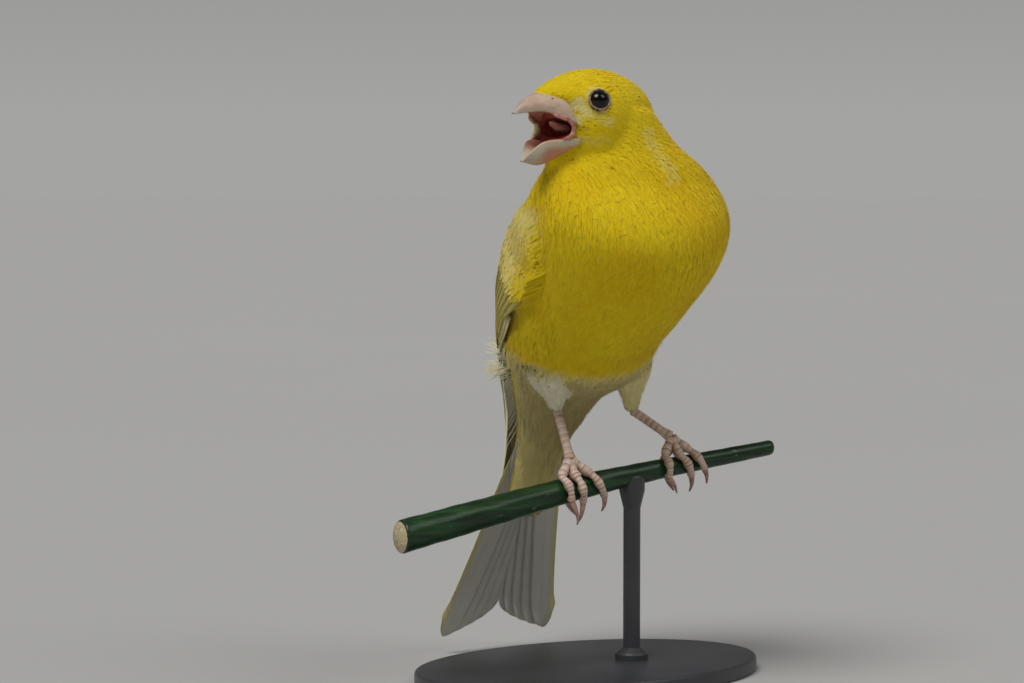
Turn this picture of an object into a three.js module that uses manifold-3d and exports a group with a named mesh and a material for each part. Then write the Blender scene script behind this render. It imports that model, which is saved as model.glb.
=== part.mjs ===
// A life-size still model of a yellow canary that sings on a cut length of green cane, held up by a
// plain display stand. Millimetres, +Z up. The bird's body faces -Y, its left side is +X, and its
// head is turned to its right, towards -X. The origin is the centre of the stand base's underside.

import * as THREE from "three";
import { mergeVertices } from "three/addons/utils/BufferGeometryUtils.js";
import Module from "manifold-3d";

const wasm = await Module();
wasm.setup();

const v3 = (x, y, z) => new THREE.Vector3(x, y, z);
const degrees = THREE.MathUtils.degToRad;
const mix = THREE.MathUtils.lerp;
const smooth = THREE.MathUtils.smoothstep;

// Driving dimensions
const GAP = 0.3; // clearance between neighbouring pieces
const VANE = 0.55; // thickness of a feather vane
const SHINGLE = 0.28; // how far each vane lies below the one that covers it

// Trunk, from the neck down to the tail, as sections square to the spine
const SPINE = [
  { name: "crown", x: -3.8, y: -13.5, z: 117, width: 9.4, back: 7.5, belly: 9 },
  { name: "neck", x: -2.3, y: -14.4, z: 110, width: 14, back: 10.5, belly: 9.5 },
  { name: "neck base", x: -0.4, y: -15.1, z: 103.5, width: 20.2, back: 13.3, belly: 12 },
  { name: "shoulders", x: 0.5, y: -13.5, z: 95.5, width: 22.3, back: 16.5, belly: 19.5 },
  { name: "breast", x: -0.4, y: -7.2, z: 86.5, width: 19.6, back: 18.5, belly: 19.4 },
  { name: "flank", x: -0.9, y: 0, z: 77.6, width: 17.3, back: 17, belly: 17.3 },
  { name: "belly", x: 0.4, y: 5.8, z: 69.2, width: 15.8, back: 14, belly: 13.6 },
  { name: "vent", y: 11.8, z: 61.4, width: 11.2, back: 10.5, belly: 8 },
  { name: "tail root", y: 17, z: 53.4, width: 7.2, back: 6.2, belly: 7 },
  { name: "tail base", y: 21.2, z: 44.3, width: 5.6, back: 3.4, belly: 3.6 },
  { name: "tail coverts", y: 25.2, z: 35.4, width: 5.2, back: 2.6, belly: 2.4 },
  { name: "mid tail", y: 29.4, z: 26, width: 5.6, back: 2.6, belly: 2.4 },
];

// Head, in its own frame: x towards the bill, y to the bird's left, z up
const HEAD = { centre: v3(-9.5, -14, 116.5), front: 14.4, back: 17.2, up: 9.9, down: 14.8, side: 9.5 };
const FACE = 0.56; // width of the face at the bill, as a share of an ellipsoid's there
const JAW = 0.15; // further narrowing below the mouth
const BROW = 0.22; // how far the forehead bulges over the bill, as a share of its reach
const CROWN_FALL = 0.12; // how much lower the crown is towards the bill, as a share of its height
const HEAD_TURN = degrees(76); // to the bird's right
const NECK_CUT = { x: -6, y: -14, z: 107, slope: degrees(11.5), reach: 80 }; // between head and neck
const BLUNT = 0.1; // width left at a bill's tip, as a share of that at its base
const BILL_TAPER = 0.8; // below 1 the bill keeps its width for longer
const BILL_CORE = 0.55; // height of its core line between rim and ridge
const UPPER_BILL = {
  ridge: [v3(10, 0, 5.1), v3(13.6, 0, 4.9), v3(17.2, 0, 3.4), v3(20.3, 0, 0.8)],
  rim: [v3(7.8, 0, -1.6), v3(10.6, 0, -0.2), v3(14.4, 0, 1), v3(20, 0, 0.5)],
  half: 5.6,
};
const LOWER_BILL = {
  ridge: [v3(6.5, 0, -6.6), v3(9.8, 0, -8.4), v3(13.4, 0, -9.5), v3(17.8, 0, -8.9)],
  rim: [v3(7.2, 0, -4.2), v3(10.4, 0, -4.3), v3(14.4, 0, -5), v3(17.7, 0, -8.5)],
  half: 5.8,
};
const SCOOP = 0.24; // depth of a bill's hollow side, as a share of its height
const MOUTH = [
  [7.9, -2.2],
  [8.6, -0.6],
  [11, 0.4],
  [14.4, 1.1],
  [26, 1.1],
  [26, -10],
  [14.4, -4.9],
  [11, -4.3],
  [9.2, -4],
  [8.1, -3.1],
];
const THROAT = { x: 8, z: -2.1, deep: 5, wide: 4.2, high: 2 };
const TONGUE = { root: v3(6, 0, -2.4), tip: v3(12.2, 0, -1.5), thick: 0.9 };
const EYE = { x: 4, y: 8, z: 3.5, radius: 2.3, sunk: 1.3 }; // place of its rim, and the ball behind
const EYE_OUT = v3(0.48, 0.82, 0.33).normalize(); // the way that the left eye faces
const LID = { ring: 2.25, half: 0.42 }; // ring of bare skin round the eye
const NOSTRIL = { x: 13.2, y: 2.8, z: 3.4, radius: 0.5 };

// Tail: twelve feathers in a fan behind its root, forked between the middle pair
const TAIL = {
  root: v3(0, 16.4, 59.2),
  slope: degrees(65.8), // below the horizontal
  start: 7,
  fork: 52.5,
  length: 61,
  pairs: 6,
  half: 3.1, // of one feather
  fan: { root: 6.3, spread: 9, curve: 1.7 }, // half width of the whole fan along its length
  clear: 1.15, // height above the fan that is left free for its coverts
};
const TAIL_COVERTS = {
  count: 5,
  upper: 21, // reach of the middle one from the tail's root
  under: 30,
  recess: 1.6, // how much shorter the next ones are
  apart: 2,
  half: 2.5,
  overlap: 0.6, // drop from one to the next, as a share of a shingle
  skew: 0.12, // height between the left and the right one of a pair, as a share of a shingle
};

// Wings: angles round the trunk from the midline of the back, in degrees, at even steps along the
// folded wing from its bend to its tip
const WING = {
  bend: 0.245,
  tip: 0.955,
  inner: [42, 32, 23, 20, 24, 32, 30],
  outer: [96, 109, 93, 72, 58, 53, 46],
  lift: 1.15, // of the flight feathers' undersides from the trunk
  slope: 0.18, // their tilt across
};

// Rows of wing feathers. Places along are shares from the bend to the tip, places across are shares
// from the inner to the outer edge, where the first feather of a row lies.
const PRIMARIES = {
  count: 8,
  root: 0.56,
  falloff: 0.0072, // how fast they shorten on both sides of the longest
  from: 0.94,
  fromStep: 0.034,
  to: 0.86,
  toStep: 0.1,
  half: 2.7,
};
const SECONDARIES = {
  count: 6,
  root: 0.37,
  tip: 0.71,
  tipStep: 0.012,
  from: 0.74,
  to: 0.66,
  step: 0.065,
  half: 3.1,
  lift: 0.3, // above the primaries
};
const TERTIALS = { count: 3, tip: 0.65, tipStep: 0.075, half: 4 };
const COVERT_ROWS = [
  { count: 7, root: 0.31, tip: 0.46, from: 0.78, step: 0.095, half: 3.4, lift: 1.75 }, // greater
  { count: 6, root: 0.24, tip: 0.35, from: 0.84, step: 0.115, half: 3.6, lift: 2 }, // median
  { count: 3, root: 0.3, tip: 0.5, from: 0.97, step: 0.06, half: 2, lift: 1.5 }, // over the edge
];
const COVERT = { along: 0.05, lean: 0.03 }; // how much the outer ones recede, and how far each leans
const WING_BEND = { s: 0.19, reach: 0.17, w: 0.52, half: 0.45, lift: 0.7, high: 1.2 }; // its cushion

// Cane perch along X, thinner towards +X, and the stand below it
const CANE = {
  y: -2,
  low: v3(-45.5, -2, 32.6),
  middle: v3(0, -2, 40.8),
  high: v3(44.8, -2, 46.2),
  thick: 3.5,
  thin: 1.6,
};
const STAND = {
  length: 78,
  depth: 51,
  height: 3.2,
  bevel: 0.7,
  x: 9.5, // place of the rod
  rod: 1.8,
  collar: 3.5,
  collarHeight: 1.6,
  collarTaper: 0.8,
  saddle: 2.7,
  saddleHeight: 3.6,
  saddleTaper: 3.4,
};

// Legs: places of the joints, and per toe its place along the cane and how far it wraps round it
const THIGH = { hip: 4.8, heel: 2.1 };
const TARSUS = 0.95;
const TOE = 0.95;
const FIRST_BEND = 0.22; // share of a toe's wrap at which it meets the cane's top
const CLAW = { from: 6, bow: 17, tip: 36 }; // degrees further round the cane than the toe's end
const LEGS = {
  right: {
    hip: v3(-9.5, 0.5, 67),
    heel: v3(-5.6, 3.5, 56.2),
    foot: v3(-5.7, -2.2, 46),
    toes: {
      inner: { over: -2.6, end: 1.2, claw: 1.6, wrap: 138, reach: 3.4 },
      middle: { over: -5.7, end: -4, claw: -4.4, wrap: 140, reach: 4.8 },
      outer: { over: -8.6, end: -7.3, claw: -5.6, wrap: 120, reach: 4.6 },
      hallux: { over: -5.6, end: -5, claw: -3.4, wrap: -135, reach: 3.4 },
    },
  },
  left: {
    hip: v3(10.6, 0.5, 67),
    heel: v3(14.1, 5.5, 55.1),
    foot: v3(19.2, -2.2, 49.6),
    toes: {
      inner: { over: 16.9, end: 16.9, claw: 19.4, wrap: 122, reach: 3.6 },
      middle: { over: 20.3, end: 23.1, claw: 23.6, wrap: 140, reach: 3.8 },
      outer: { over: 23.4, end: 26, claw: 26.8, wrap: 118, reach: 3 },
      hallux: { over: 19.2, end: 19.6, claw: 20.6, wrap: -135, reach: 3.2 },
    },
  },
};

// Solids and meshes

function solid(geometry) {
  const bare = geometry.clone();
  bare.deleteAttribute("normal");
  bare.deleteAttribute("uv");
  const merged = mergeVertices(bare, 1e-4);
  const vertProperties = new Float32Array(merged.attributes.position.array);
  const triVerts = new Uint32Array(merged.index.array);
  const made = new wasm.Manifold(new wasm.Mesh({ numProp: 3, vertProperties, triVerts }));
  if (made.volume() > 0) return made;
  for (let i = 0; i < triVerts.length; i += 3) {
    [triVerts[i + 1], triVerts[i + 2]] = [triVerts[i + 2], triVerts[i + 1]];
  }
  return new wasm.Manifold(new wasm.Mesh({ numProp: 3, vertProperties, triVerts }));
}

const joined = (pieces) => pieces.reduce((a, b) => a.add(b));
const cutBy = (piece, cutters) => cutters.reduce((a, b) => a.subtract(b), piece);

// The largest closed body of a solid, without what a cut left loose.
const largest = (made) => made.decompose().reduce((a, b) => (b.volume() > a.volume() ? b : a));

function geometryOf(made) {
  const mesh = largest(made).getMesh();
  const positions = new Float32Array(mesh.numVert * 3);
  for (let i = 0; i < mesh.numVert; i++) {
    const at = i * mesh.numProp;
    positions.set(mesh.vertProperties.subarray(at, at + 3), i * 3);
  }
  const geometry = new THREE.BufferGeometry();
  geometry.setAttribute("position", new THREE.BufferAttribute(positions, 3));
  geometry.setIndex(new THREE.BufferAttribute(new Uint32Array(mesh.triVerts), 1));
  geometry.computeVertexNormals();
  return geometry;
}

// A closed form with flat ends: place(share along 0..1, angle, reach) is its surface at reach 1 and
// its core at reach 0.
function loft(around, along, place) {
  const geometry = new THREE.SphereGeometry(1, around, along + 2);
  const position = geometry.getAttribute("position");
  const uv = geometry.getAttribute("uv");
  for (let i = 0; i < position.count; i++) {
    const row = Math.round((1 - uv.getY(i)) * (along + 2));
    const pole = row === 0 || row === along + 2;
    const share = THREE.MathUtils.clamp((row - 1) / along, 0, 1);
    const at = place(share, uv.getX(i) * 2 * Math.PI, pole ? 0 : 1);
    position.setXYZ(i, at.x, at.y, at.z);
  }
  return solid(geometry);
}

// A round form: place(direction) moves each point of a unit sphere.
function ball(around, rings, place) {
  const geometry = new THREE.SphereGeometry(1, around, rings);
  const position = geometry.getAttribute("position");
  for (let i = 0; i < position.count; i++) {
    const at = place(v3(position.getX(i), position.getY(i), position.getZ(i)));
    position.setXYZ(i, at.x, at.y, at.z);
  }
  return solid(geometry);
}

// A round limb along a curve, with a radius for each share of its length and flat ends. All of its
// surface stands proud by the same distance.
function limb(points, radius, proud = 0, around = 8, along = 8) {
  const curve = new THREE.CatmullRomCurve3(points);
  const frames = curve.computeFrenetFrames(along, false);
  return loft(around, along, (share, angle, reach) => {
    const k = Math.round(share * along);
    const r = (radius(share) + proud) * reach;
    const at = curve.getPointAt(share);
    if (k === 0) at.addScaledVector(frames.tangents[0], -proud);
    if (k === along) at.addScaledVector(frames.tangents[along], proud);
    at.addScaledVector(frames.normals[k], Math.cos(angle) * r);
    return at.addScaledVector(frames.binormals[k], Math.sin(angle) * r);
  });
}

// A thin vane. at(share along, side -1..1, height 0 or 1) gives the points of its lower and upper
// face, which are split into triangles alike. Rows crowd towards the tip, where it is rounded.
function vane(rows, across, at) {
  const positions = [];
  const index = [];
  const id = (row, k, face) => (row * (across + 1) + k) * 2 + face;
  for (let row = 0; row <= rows; row++) {
    const share = 1 - (1 - row / rows) ** 1.5;
    for (let k = 0; k <= across; k++) {
      for (const face of [0, 1]) positions.push(...at(share, (2 * k) / across - 1, face));
    }
  }
  const quad = (a, b, c, d) => index.push(a, b, c, a, c, d);
  for (let row = 0; row < rows; row++) {
    for (let k = 0; k < across; k++) {
      quad(id(row, k, 1), id(row, k + 1, 1), id(row + 1, k + 1, 1), id(row + 1, k, 1));
      index.push(id(row, k, 0), id(row + 1, k + 1, 0), id(row, k + 1, 0));
      index.push(id(row, k, 0), id(row + 1, k, 0), id(row + 1, k + 1, 0));
    }
    quad(id(row, 0, 0), id(row, 0, 1), id(row + 1, 0, 1), id(row + 1, 0, 0));
    quad(id(row, across, 1), id(row, across, 0), id(row + 1, across, 0), id(row + 1, across, 1));
  }
  for (let k = 0; k < across; k++) {
    quad(id(0, k, 0), id(0, k + 1, 0), id(0, k + 1, 1), id(0, k, 1));
    quad(id(rows, k, 1), id(rows, k + 1, 1), id(rows, k + 1, 0), id(rows, k, 0));
  }
  const geometry = new THREE.BufferGeometry();
  geometry.setAttribute("position", new THREE.Float32BufferAttribute(positions, 3));
  geometry.setIndex(index);
  return solid(geometry);
}

// Half width of a vane as a share of its full half width: narrow at the root, rounded at the tip.
function blade(share, round = 0.22) {
  const tip = Math.max(0, share - 1 + round) / round;
  return mix(0.5, 1, smooth(share, 0, 0.35)) * Math.sqrt(Math.max(1 - tip * tip, 0.02));
}

// Trunk

const spine = new THREE.CatmullRomCurve3(SPINE.map((s) => v3(s.x ?? 0, s.y, s.z)));
const girth = new THREE.CatmullRomCurve3(SPINE.map((s) => v3(s.width, s.back, s.belly)));
const station = (name) => SPINE.findIndex((s) => s.name === name) / (SPINE.length - 1);
const alongSpine = (length) => length / spine.getLength();

// A point of the trunk's surface. Angle 0 is the midline of the back, 90 degrees the left side.
function trunkPoint(t, angle, proud = 0, reach = 1) {
  const at = spine.getPoint(t);
  const tangent = spine.getTangent(t);
  const size = girth.getPoint(t);
  const lift = Math.cos(angle);
  const depth = ((lift > 0 ? size.y : size.z) + proud) * reach;
  at.x += Math.sin(angle) * (size.x + proud) * reach;
  return at.addScaledVector(v3(0, -tangent.z, tangent.y), lift * depth);
}

function trunk(from, to, proud, around, along) {
  return loft(around, along, (share, angle, reach) =>
    trunkPoint(mix(from, to, share), angle, proud, reach),
  );
}

const NECK_END = station("neck base") + alongSpine(3);
const TORSO_END = station("tail root");
const torsoForm = (proud) =>
  trunk(NECK_END - alongSpine(2 * proud), TORSO_END + alongSpine(proud), proud, 26, 15);
const torso = torsoForm(0);
const torsoClear = torsoForm(GAP);

// Head and neck

const headPose = new THREE.Matrix4()
  .makeTranslation(HEAD.centre.x, HEAD.centre.y, HEAD.centre.z)
  .multiply(new THREE.Matrix4().makeRotationZ(-Math.PI / 2 - HEAD_TURN));
const inHead = (point) => point.applyMatrix4(headPose);

function headBall(proud) {
  return ball(22, 16, (d) => {
    const jaw = 1 - JAW * smooth(-d.z, 0.15, 0.6) * smooth(d.x, 0.2, 0.6);
    const face = mix(1, FACE, smooth(d.x, 0.1, 0.75)) * jaw;
    const brow = 1 + BROW * smooth(d.z, 0.2, 0.55);
    const along = d.x * ((d.x > 0 ? HEAD.front * brow : HEAD.back) + proud);
    const crown = HEAD.up * (1 - CROWN_FALL * smooth(d.x, -0.2, 0.9));
    const up = d.z * ((d.z > 0 ? crown : HEAD.down) + proud);
    return inHead(v3(along, d.y * (HEAD.side * face + proud), up));
  });
}
const headForm = headBall(0);
const headClear = headBall(GAP);

// A block whose top face is the plane of the cut between head and neck, raised by lift.
function belowHead(lift) {
  const block = new THREE.BoxGeometry(NECK_CUT.reach, NECK_CUT.reach, NECK_CUT.reach);
  block.translate(0, 0, lift - NECK_CUT.reach / 2);
  block.rotateY(-NECK_CUT.slope);
  block.translate(NECK_CUT.x, NECK_CUT.y, NECK_CUT.z);
  return solid(block);
}

// The open mouth: a notch that widens from the corners of the gape to beyond the bill's tip.
function mouthNotch() {
  const side = new THREE.Shape(MOUTH.map(([x, z]) => new THREE.Vector2(x, z)));
  const notch = new THREE.ExtrudeGeometry(side, { depth: 2 * HEAD.side, bevelEnabled: false });
  notch.rotateX(Math.PI / 2);
  notch.translate(0, HEAD.side, 0);
  notch.applyMatrix4(headPose);
  return solid(notch);
}

const throat = () =>
  ball(12, 8, (d) =>
    inHead(v3(THROAT.x + d.x * THROAT.deep, d.y * THROAT.wide, THROAT.z + d.z * THROAT.high)),
  );

// A point in front of an eye's rim, in the head's frame, and the way that the eye faces.
const eyeOut = (side) => EYE_OUT.clone().multiply(v3(1, side, 1));
const eyePlace = (side, out) => v3(EYE.x, side * EYE.y, EYE.z).addScaledVector(eyeOut(side), out);

function eyeball(side, proud) {
  return ball(14, 9, (d) =>
    inHead(d.multiplyScalar(EYE.radius + proud).add(eyePlace(side, -EYE.sunk))),
  );
}

function lidRing(side) {
  const ring = new THREE.TorusGeometry(LID.ring, LID.half, 5, 14);
  ring.applyQuaternion(new THREE.Quaternion().setFromUnitVectors(v3(0, 0, 1), eyeOut(side)));
  ring.translate(...eyePlace(side, 0).toArray());
  ring.applyMatrix4(headPose);
  return solid(ring);
}

const headAndNeck = headForm.add(trunk(0, NECK_END, 0, 26, 6));
const neck = headAndNeck.intersect(belowHead(-GAP / 2)).subtract(torsoClear);

function head() {
  const lids = joined([lidRing(1), lidRing(-1)]);
  const whole = headAndNeck.subtract(belowHead(GAP / 2)).add(lids);
  return cutBy(whole, [mouthNotch(), throat(), eyeball(1, GAP), eyeball(-1, GAP)]);
}

// Bill and tongue

// Half of the bill: sections between its ridge and its rim, round outside and hollow inside.
function billForm({ ridge, rim, half }) {
  const ridgeLine = new THREE.CatmullRomCurve3(ridge);
  const rimLine = new THREE.CatmullRomCurve3(rim);
  return loft(18, 8, (share, angle, reach) => {
    const width = half * Math.max((1 - share) ** BILL_TAPER, BLUNT);
    const edge = rimLine.getPoint(share);
    const height = ridgeLine.getPoint(share).sub(edge);
    const rise = Math.cos(angle) > 0 ? Math.cos(angle) : SCOOP * Math.cos(angle) ** 2;
    const at = edge.clone().addScaledVector(height, rise);
    at.y = Math.sin(angle) * width;
    return inHead(edge.addScaledVector(height, BILL_CORE).lerp(at, reach));
  });
}

function upperBill() {
  const nostrils = [1, -1].map((side) =>
    ball(8, 6, (d) =>
      inHead(d.multiplyScalar(NOSTRIL.radius).add(v3(NOSTRIL.x, side * NOSTRIL.y, NOSTRIL.z))),
    ),
  );
  return cutBy(billForm(UPPER_BILL), [headClear, ...nostrils]);
}

const lowerBill = () => billForm(LOWER_BILL).subtract(headClear);

function tongue() {
  const ends = [TONGUE.root, TONGUE.tip].map((p) => inHead(p.clone()));
  return limb(ends, (share) => TONGUE.thick * Math.sqrt(1 - share * share * 0.9), 0, 8, 5);
}

// Tail

const tailAxis = v3(0, Math.cos(TAIL.slope), -Math.sin(TAIL.slope));
const tailUp = v3(0, Math.sin(TAIL.slope), Math.cos(TAIL.slope));

function tailPoint(along, across, lift) {
  const at = TAIL.root.clone().addScaledVector(tailAxis, along).addScaledVector(tailUp, lift);
  at.x += across;
  return at;
}

// Half the width of the whole fan at a distance from its root.
const fan = (along) =>
  TAIL.fan.root + TAIL.fan.spread * (along / TAIL.length) ** TAIL.fan.curve;

function tailFeather(k, side) {
  const length = mix(TAIL.fork, TAIL.length, Math.sqrt(k / (TAIL.pairs - 1)));
  const depth = -SHINGLE * (k + (side < 0 ? 0.5 : 0));
  return vane(4, 2, (share, edge, face) => {
    const along = mix(TAIL.start, length, share);
    const rim = (fan(along) * (k + 1)) / TAIL.pairs;
    const centre = Math.max(rim - TAIL.half, TAIL.half * 0.7);
    const across = centre + edge * TAIL.half * blade(share);
    return tailPoint(along, side * across, depth + face * VANE).toArray();
  });
}

const tailCore = (proud) =>
  trunk(TORSO_END, station("tail coverts") + alongSpine(proud), proud - 0.3, 16, 6);

// The space that the tail needs, with its coverts.
const tailSpace = vane(4, 1, (share, edge, face) => {
  const along = mix(TAIL.start - 1, TAIL.length + 1, share);
  return tailPoint(along, edge * (fan(along) + GAP), mix(-TAIL.pairs * SHINGLE, TAIL.clear, face)).toArray();
});
const tailClear = tailCore(GAP).add(tailSpace);

// A covert above or below the tail's root; the middle one reaches furthest and lies on top.
function tailCovert(k, reach, lift) {
  const step = Math.abs(k);
  return vane(4, 2, (share, edge, face) => {
    const along = mix(TAIL.start, reach - TAIL_COVERTS.recess * step * step, share);
    const across = k * TAIL_COVERTS.apart + edge * TAIL_COVERTS.half * blade(share, 0.4);
    return tailPoint(along, across, lift(step, share) + face * VANE).toArray();
  });
}

function tail() {
  const pieces = [tailCore(0)];
  for (let k = 0; k < TAIL.pairs; k++) pieces.push(tailFeather(k, 1), tailFeather(k, -1));
  const over = VANE - 0.2;
  const under = -SHINGLE * TAIL.pairs - 0.5 * VANE;
  const drop = SHINGLE * TAIL_COVERTS.overlap;
  for (let k = 0; k < TAIL_COVERTS.count; k++) {
    const place = k - (TAIL_COVERTS.count - 1) / 2;
    const skew = TAIL_COVERTS.skew * SHINGLE * Math.sign(place);
    pieces.push(tailCovert(place, TAIL_COVERTS.upper, (step) => over - drop * step + skew));
    pieces.push(tailCovert(place, TAIL_COVERTS.under, (step) => under + drop * step + skew));
  }
  return joined(pieces).subtract(torsoClear);
}

// Wings

const wingEdges = new THREE.CatmullRomCurve3(
  WING.inner.map((inner, i) => v3(degrees(inner), degrees(WING.outer[i]), 0)),
);

// A point of the folded wing: s from bend to tip, w from its inner to its outer edge, off in
// millimetres from there towards the outer edge.
function wingPoint(side, s, w, off, lift) {
  const t = mix(WING.bend, WING.tip, s);
  const edges = wingEdges.getPoint(THREE.MathUtils.clamp(s, 0, 1));
  const angle = mix(edges.x, edges.y, w) + off / girth.getPoint(t).x;
  return trunkPoint(t, side * angle, lift);
}

// A feather of the folded wing. Its outer edge stands proud and its inner edge slips below the next.
function wingFeather(side, { root, tip, from, to, half, lift, round = 0.25, rows = 3 }) {
  return vane(rows, 1, (share, edge, face) => {
    const off = edge * half * blade(share, round);
    const height = lift + off * WING.slope + face * VANE;
    return wingPoint(side, mix(root, tip, share), mix(from, to, share), off, height).toArray();
  });
}

const counted = (count, make) => Array.from({ length: count }, (_, i) => make(i));

// The primaries, outermost first: the second is the longest.
function primaries(side) {
  const { count, root, falloff, from, fromStep, to, toStep, half } = PRIMARIES;
  return counted(count, (i) =>
    wingFeather(side, {
      root,
      tip: 1 - falloff * (i - 1) ** 2,
      from: from - fromStep * i,
      to: to - toStep * i,
      half,
      lift: WING.lift,
      round: 0.3,
    }),
  );
}

// The secondaries, and the tertials that go on from them and lie on the primaries.
function secondaries(side) {
  const { count, root, tip, tipStep, from, to, step, half, lift } = SECONDARIES;
  return counted(count + TERTIALS.count, (j) => {
    const tertial = j - count;
    return wingFeather(side, {
      root,
      tip: tertial < 0 ? tip - tipStep * j : TERTIALS.tip - TERTIALS.tipStep * (tertial + 1),
      from: from - step * j,
      to: to - step * j,
      half: tertial < 0 ? half : TERTIALS.half,
      lift: WING.lift + lift,
    });
  });
}

// A row of coverts over the roots of the flight feathers.
function covertRow(side, { count, root, tip, from, step, half, lift }) {
  return counted(count, (k) =>
    wingFeather(side, {
      root,
      tip: tip - COVERT.along * Math.abs(k / count - 0.4),
      from: from - step * k,
      to: from + COVERT.lean - step * k,
      half,
      lift,
      round: 0.45,
      rows: 2,
    }),
  );
}

// The small coverts over the bend of the wing, as one smooth cushion.
function wingBend(side) {
  const { s, reach, w, half, lift, high } = WING_BEND;
  return ball(13, 6, (d) => wingPoint(side, s + reach * d.x, w + half * d.y, 0, lift + high * d.z));
}

function wing(side) {
  const rows = COVERT_ROWS.flatMap((row) => covertRow(side, row));
  const pieces = [wingBend(side), ...primaries(side), ...secondaries(side), ...rows];
  return cutBy(joined(pieces), [torsoClear, tailClear]);
}

// Cane perch and stand

const cane = new THREE.CatmullRomCurve3([CANE.low, CANE.middle, CANE.high]);
const caneRadius = (x) =>
  mix(CANE.thick, CANE.thin, smooth(x, CANE.low.x - 20, CANE.high.x + 8) ** 1.15);

// The centre of the cane at a place along X.
function caneCentre(x) {
  const share = (x - CANE.low.x) / (CANE.high.x - CANE.low.x);
  return cane.getPoint(share);
}

function perch(proud = 0) {
  return loft(14, 12, (share, angle, reach) => {
    const at = cane.getPoint(share);
    const radius = (caneRadius(at.x) + proud) * reach;
    at.y += Math.sin(angle) * radius;
    at.z += Math.cos(angle) * radius;
    return at;
  });
}

function standBase() {
  const oval = new THREE.Shape();
  oval.absellipse(0, 0, STAND.length / 2 - STAND.bevel, STAND.depth / 2 - STAND.bevel, 0, 2 * Math.PI);
  const plate = new THREE.ExtrudeGeometry(oval, {
    depth: STAND.height - 2 * STAND.bevel,
    bevelSize: STAND.bevel,
    bevelThickness: STAND.bevel,
    bevelSegments: 2,
    curveSegments: 18,
  });
  plate.translate(0, 0, STAND.bevel);
  return solid(plate);
}

function standRod() {
  const top = caneCentre(STAND.x).z;
  const foot = STAND.height + GAP;
  const shoulder = foot + STAND.collarHeight;
  const saddleFoot = top - STAND.saddleHeight;
  const profile = [
    [0, foot],
    [STAND.collar, foot],
    [STAND.collar, shoulder],
    [STAND.rod, shoulder + STAND.collarTaper],
    [STAND.rod, saddleFoot - STAND.saddleTaper],
    [STAND.saddle, saddleFoot],
    [STAND.saddle, top],
    [0, top],
  ].map(([r, z]) => new THREE.Vector2(r, z));
  const rod = new THREE.LatheGeometry(profile, 16);
  rod.rotateX(Math.PI / 2);
  rod.translate(STAND.x, CANE.y, 0);
  return solid(rod).subtract(perch(GAP));
}

// Legs

// A point outside the cane: turn in degrees from its top towards the front, off from its bark.
function roundCane(x, turn, off) {
  const radius = caneRadius(x) + off;
  const at = caneCentre(x);
  at.x = x;
  at.y -= Math.sin(degrees(turn)) * radius;
  at.z += Math.cos(degrees(turn)) * radius;
  return at;
}

const thighForm = (leg, proud) =>
  limb([leg.hip, leg.heel], (share) => mix(THIGH.hip, THIGH.heel, smooth(share, 0, 1)), proud);
const tarsusForm = (leg, proud) =>
  limb([leg.heel, leg.foot], (share) => TARSUS * (1 + 0.35 * smooth(share, 0.75, 1)), proud);

// Points of a toe: from the foot over the cane's top and round it.
function toePath(leg, toe) {
  const off = GAP + TOE + 0.05;
  const points = [leg.foot.clone()];
  for (const share of [FIRST_BEND, 0.5, 0.75, 1]) {
    const x = mix(toe.over, toe.end, (share - FIRST_BEND) / (1 - FIRST_BEND));
    points.push(roundCane(x, toe.wrap * share, off));
  }
  return points;
}

const toeRadius = (share) => TOE * (1 - 0.3 * share + 0.07 * Math.cos(6 * Math.PI * share));

const toeForm = (leg, toe, proud = 0) => limb(toePath(leg, toe), toeRadius, proud, 7, 8);

function clawForm(toe) {
  const sign = Math.sign(toe.wrap);
  const points = [
    roundCane(toe.end, toe.wrap + CLAW.from * sign, GAP + TOE + 0.05),
    roundCane(mix(toe.end, toe.claw, 0.5), toe.wrap + CLAW.bow * sign, GAP + TOE * 0.8 + toe.reach * 0.4),
    roundCane(toe.claw, toe.wrap + CLAW.tip * sign, GAP + toe.reach),
  ];
  return limb(points, (share) => mix(TOE * 0.72, 0.12, share), 0, 6, 5);
}

// The parts

const COLOURS = {
  feather: 0xf2d23a,
  pale: 0xf3eccb,
  bill: 0xd8b3a0,
  tongue: 0xc25a55,
  eye: 0x0c0a09,
  leg: 0xc98f84,
  claw: 0x8d6a60,
  cane: 0x2c4a22,
  stand: 0x24262a,
};

const bird = new THREE.Group();

function addPart(name, made, colour, roughness, metalness = 0) {
  const material = new THREE.MeshStandardMaterial({ color: COLOURS[colour], roughness, metalness });
  const mesh = new THREE.Mesh(geometryOf(made), material);
  mesh.name = name;
  bird.add(mesh);
}

function addLeg(side) {
  const leg = LEGS[side];
  const thigh = thighForm(leg, 0).subtract(torsoClear);
  addPart(`thigh_${side}`, thigh, "pale", 0.85);
  addPart(`tarsus_${side}`, tarsusForm(leg, 0).subtract(thighForm(leg, GAP)), "leg", 0.5);
  const taken = [tarsusForm(leg, GAP), perch(GAP)];
  for (const [name, toe] of Object.entries(leg.toes)) {
    addPart(`${name}_toe_${side}`, cutBy(toeForm(leg, toe), taken), "leg", 0.5);
    addPart(`${name}_claw_${side}`, clawForm(toe).subtract(toeForm(leg, toe, GAP)), "claw", 0.4);
    taken.push(toeForm(leg, toe, GAP));
  }
}

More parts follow.
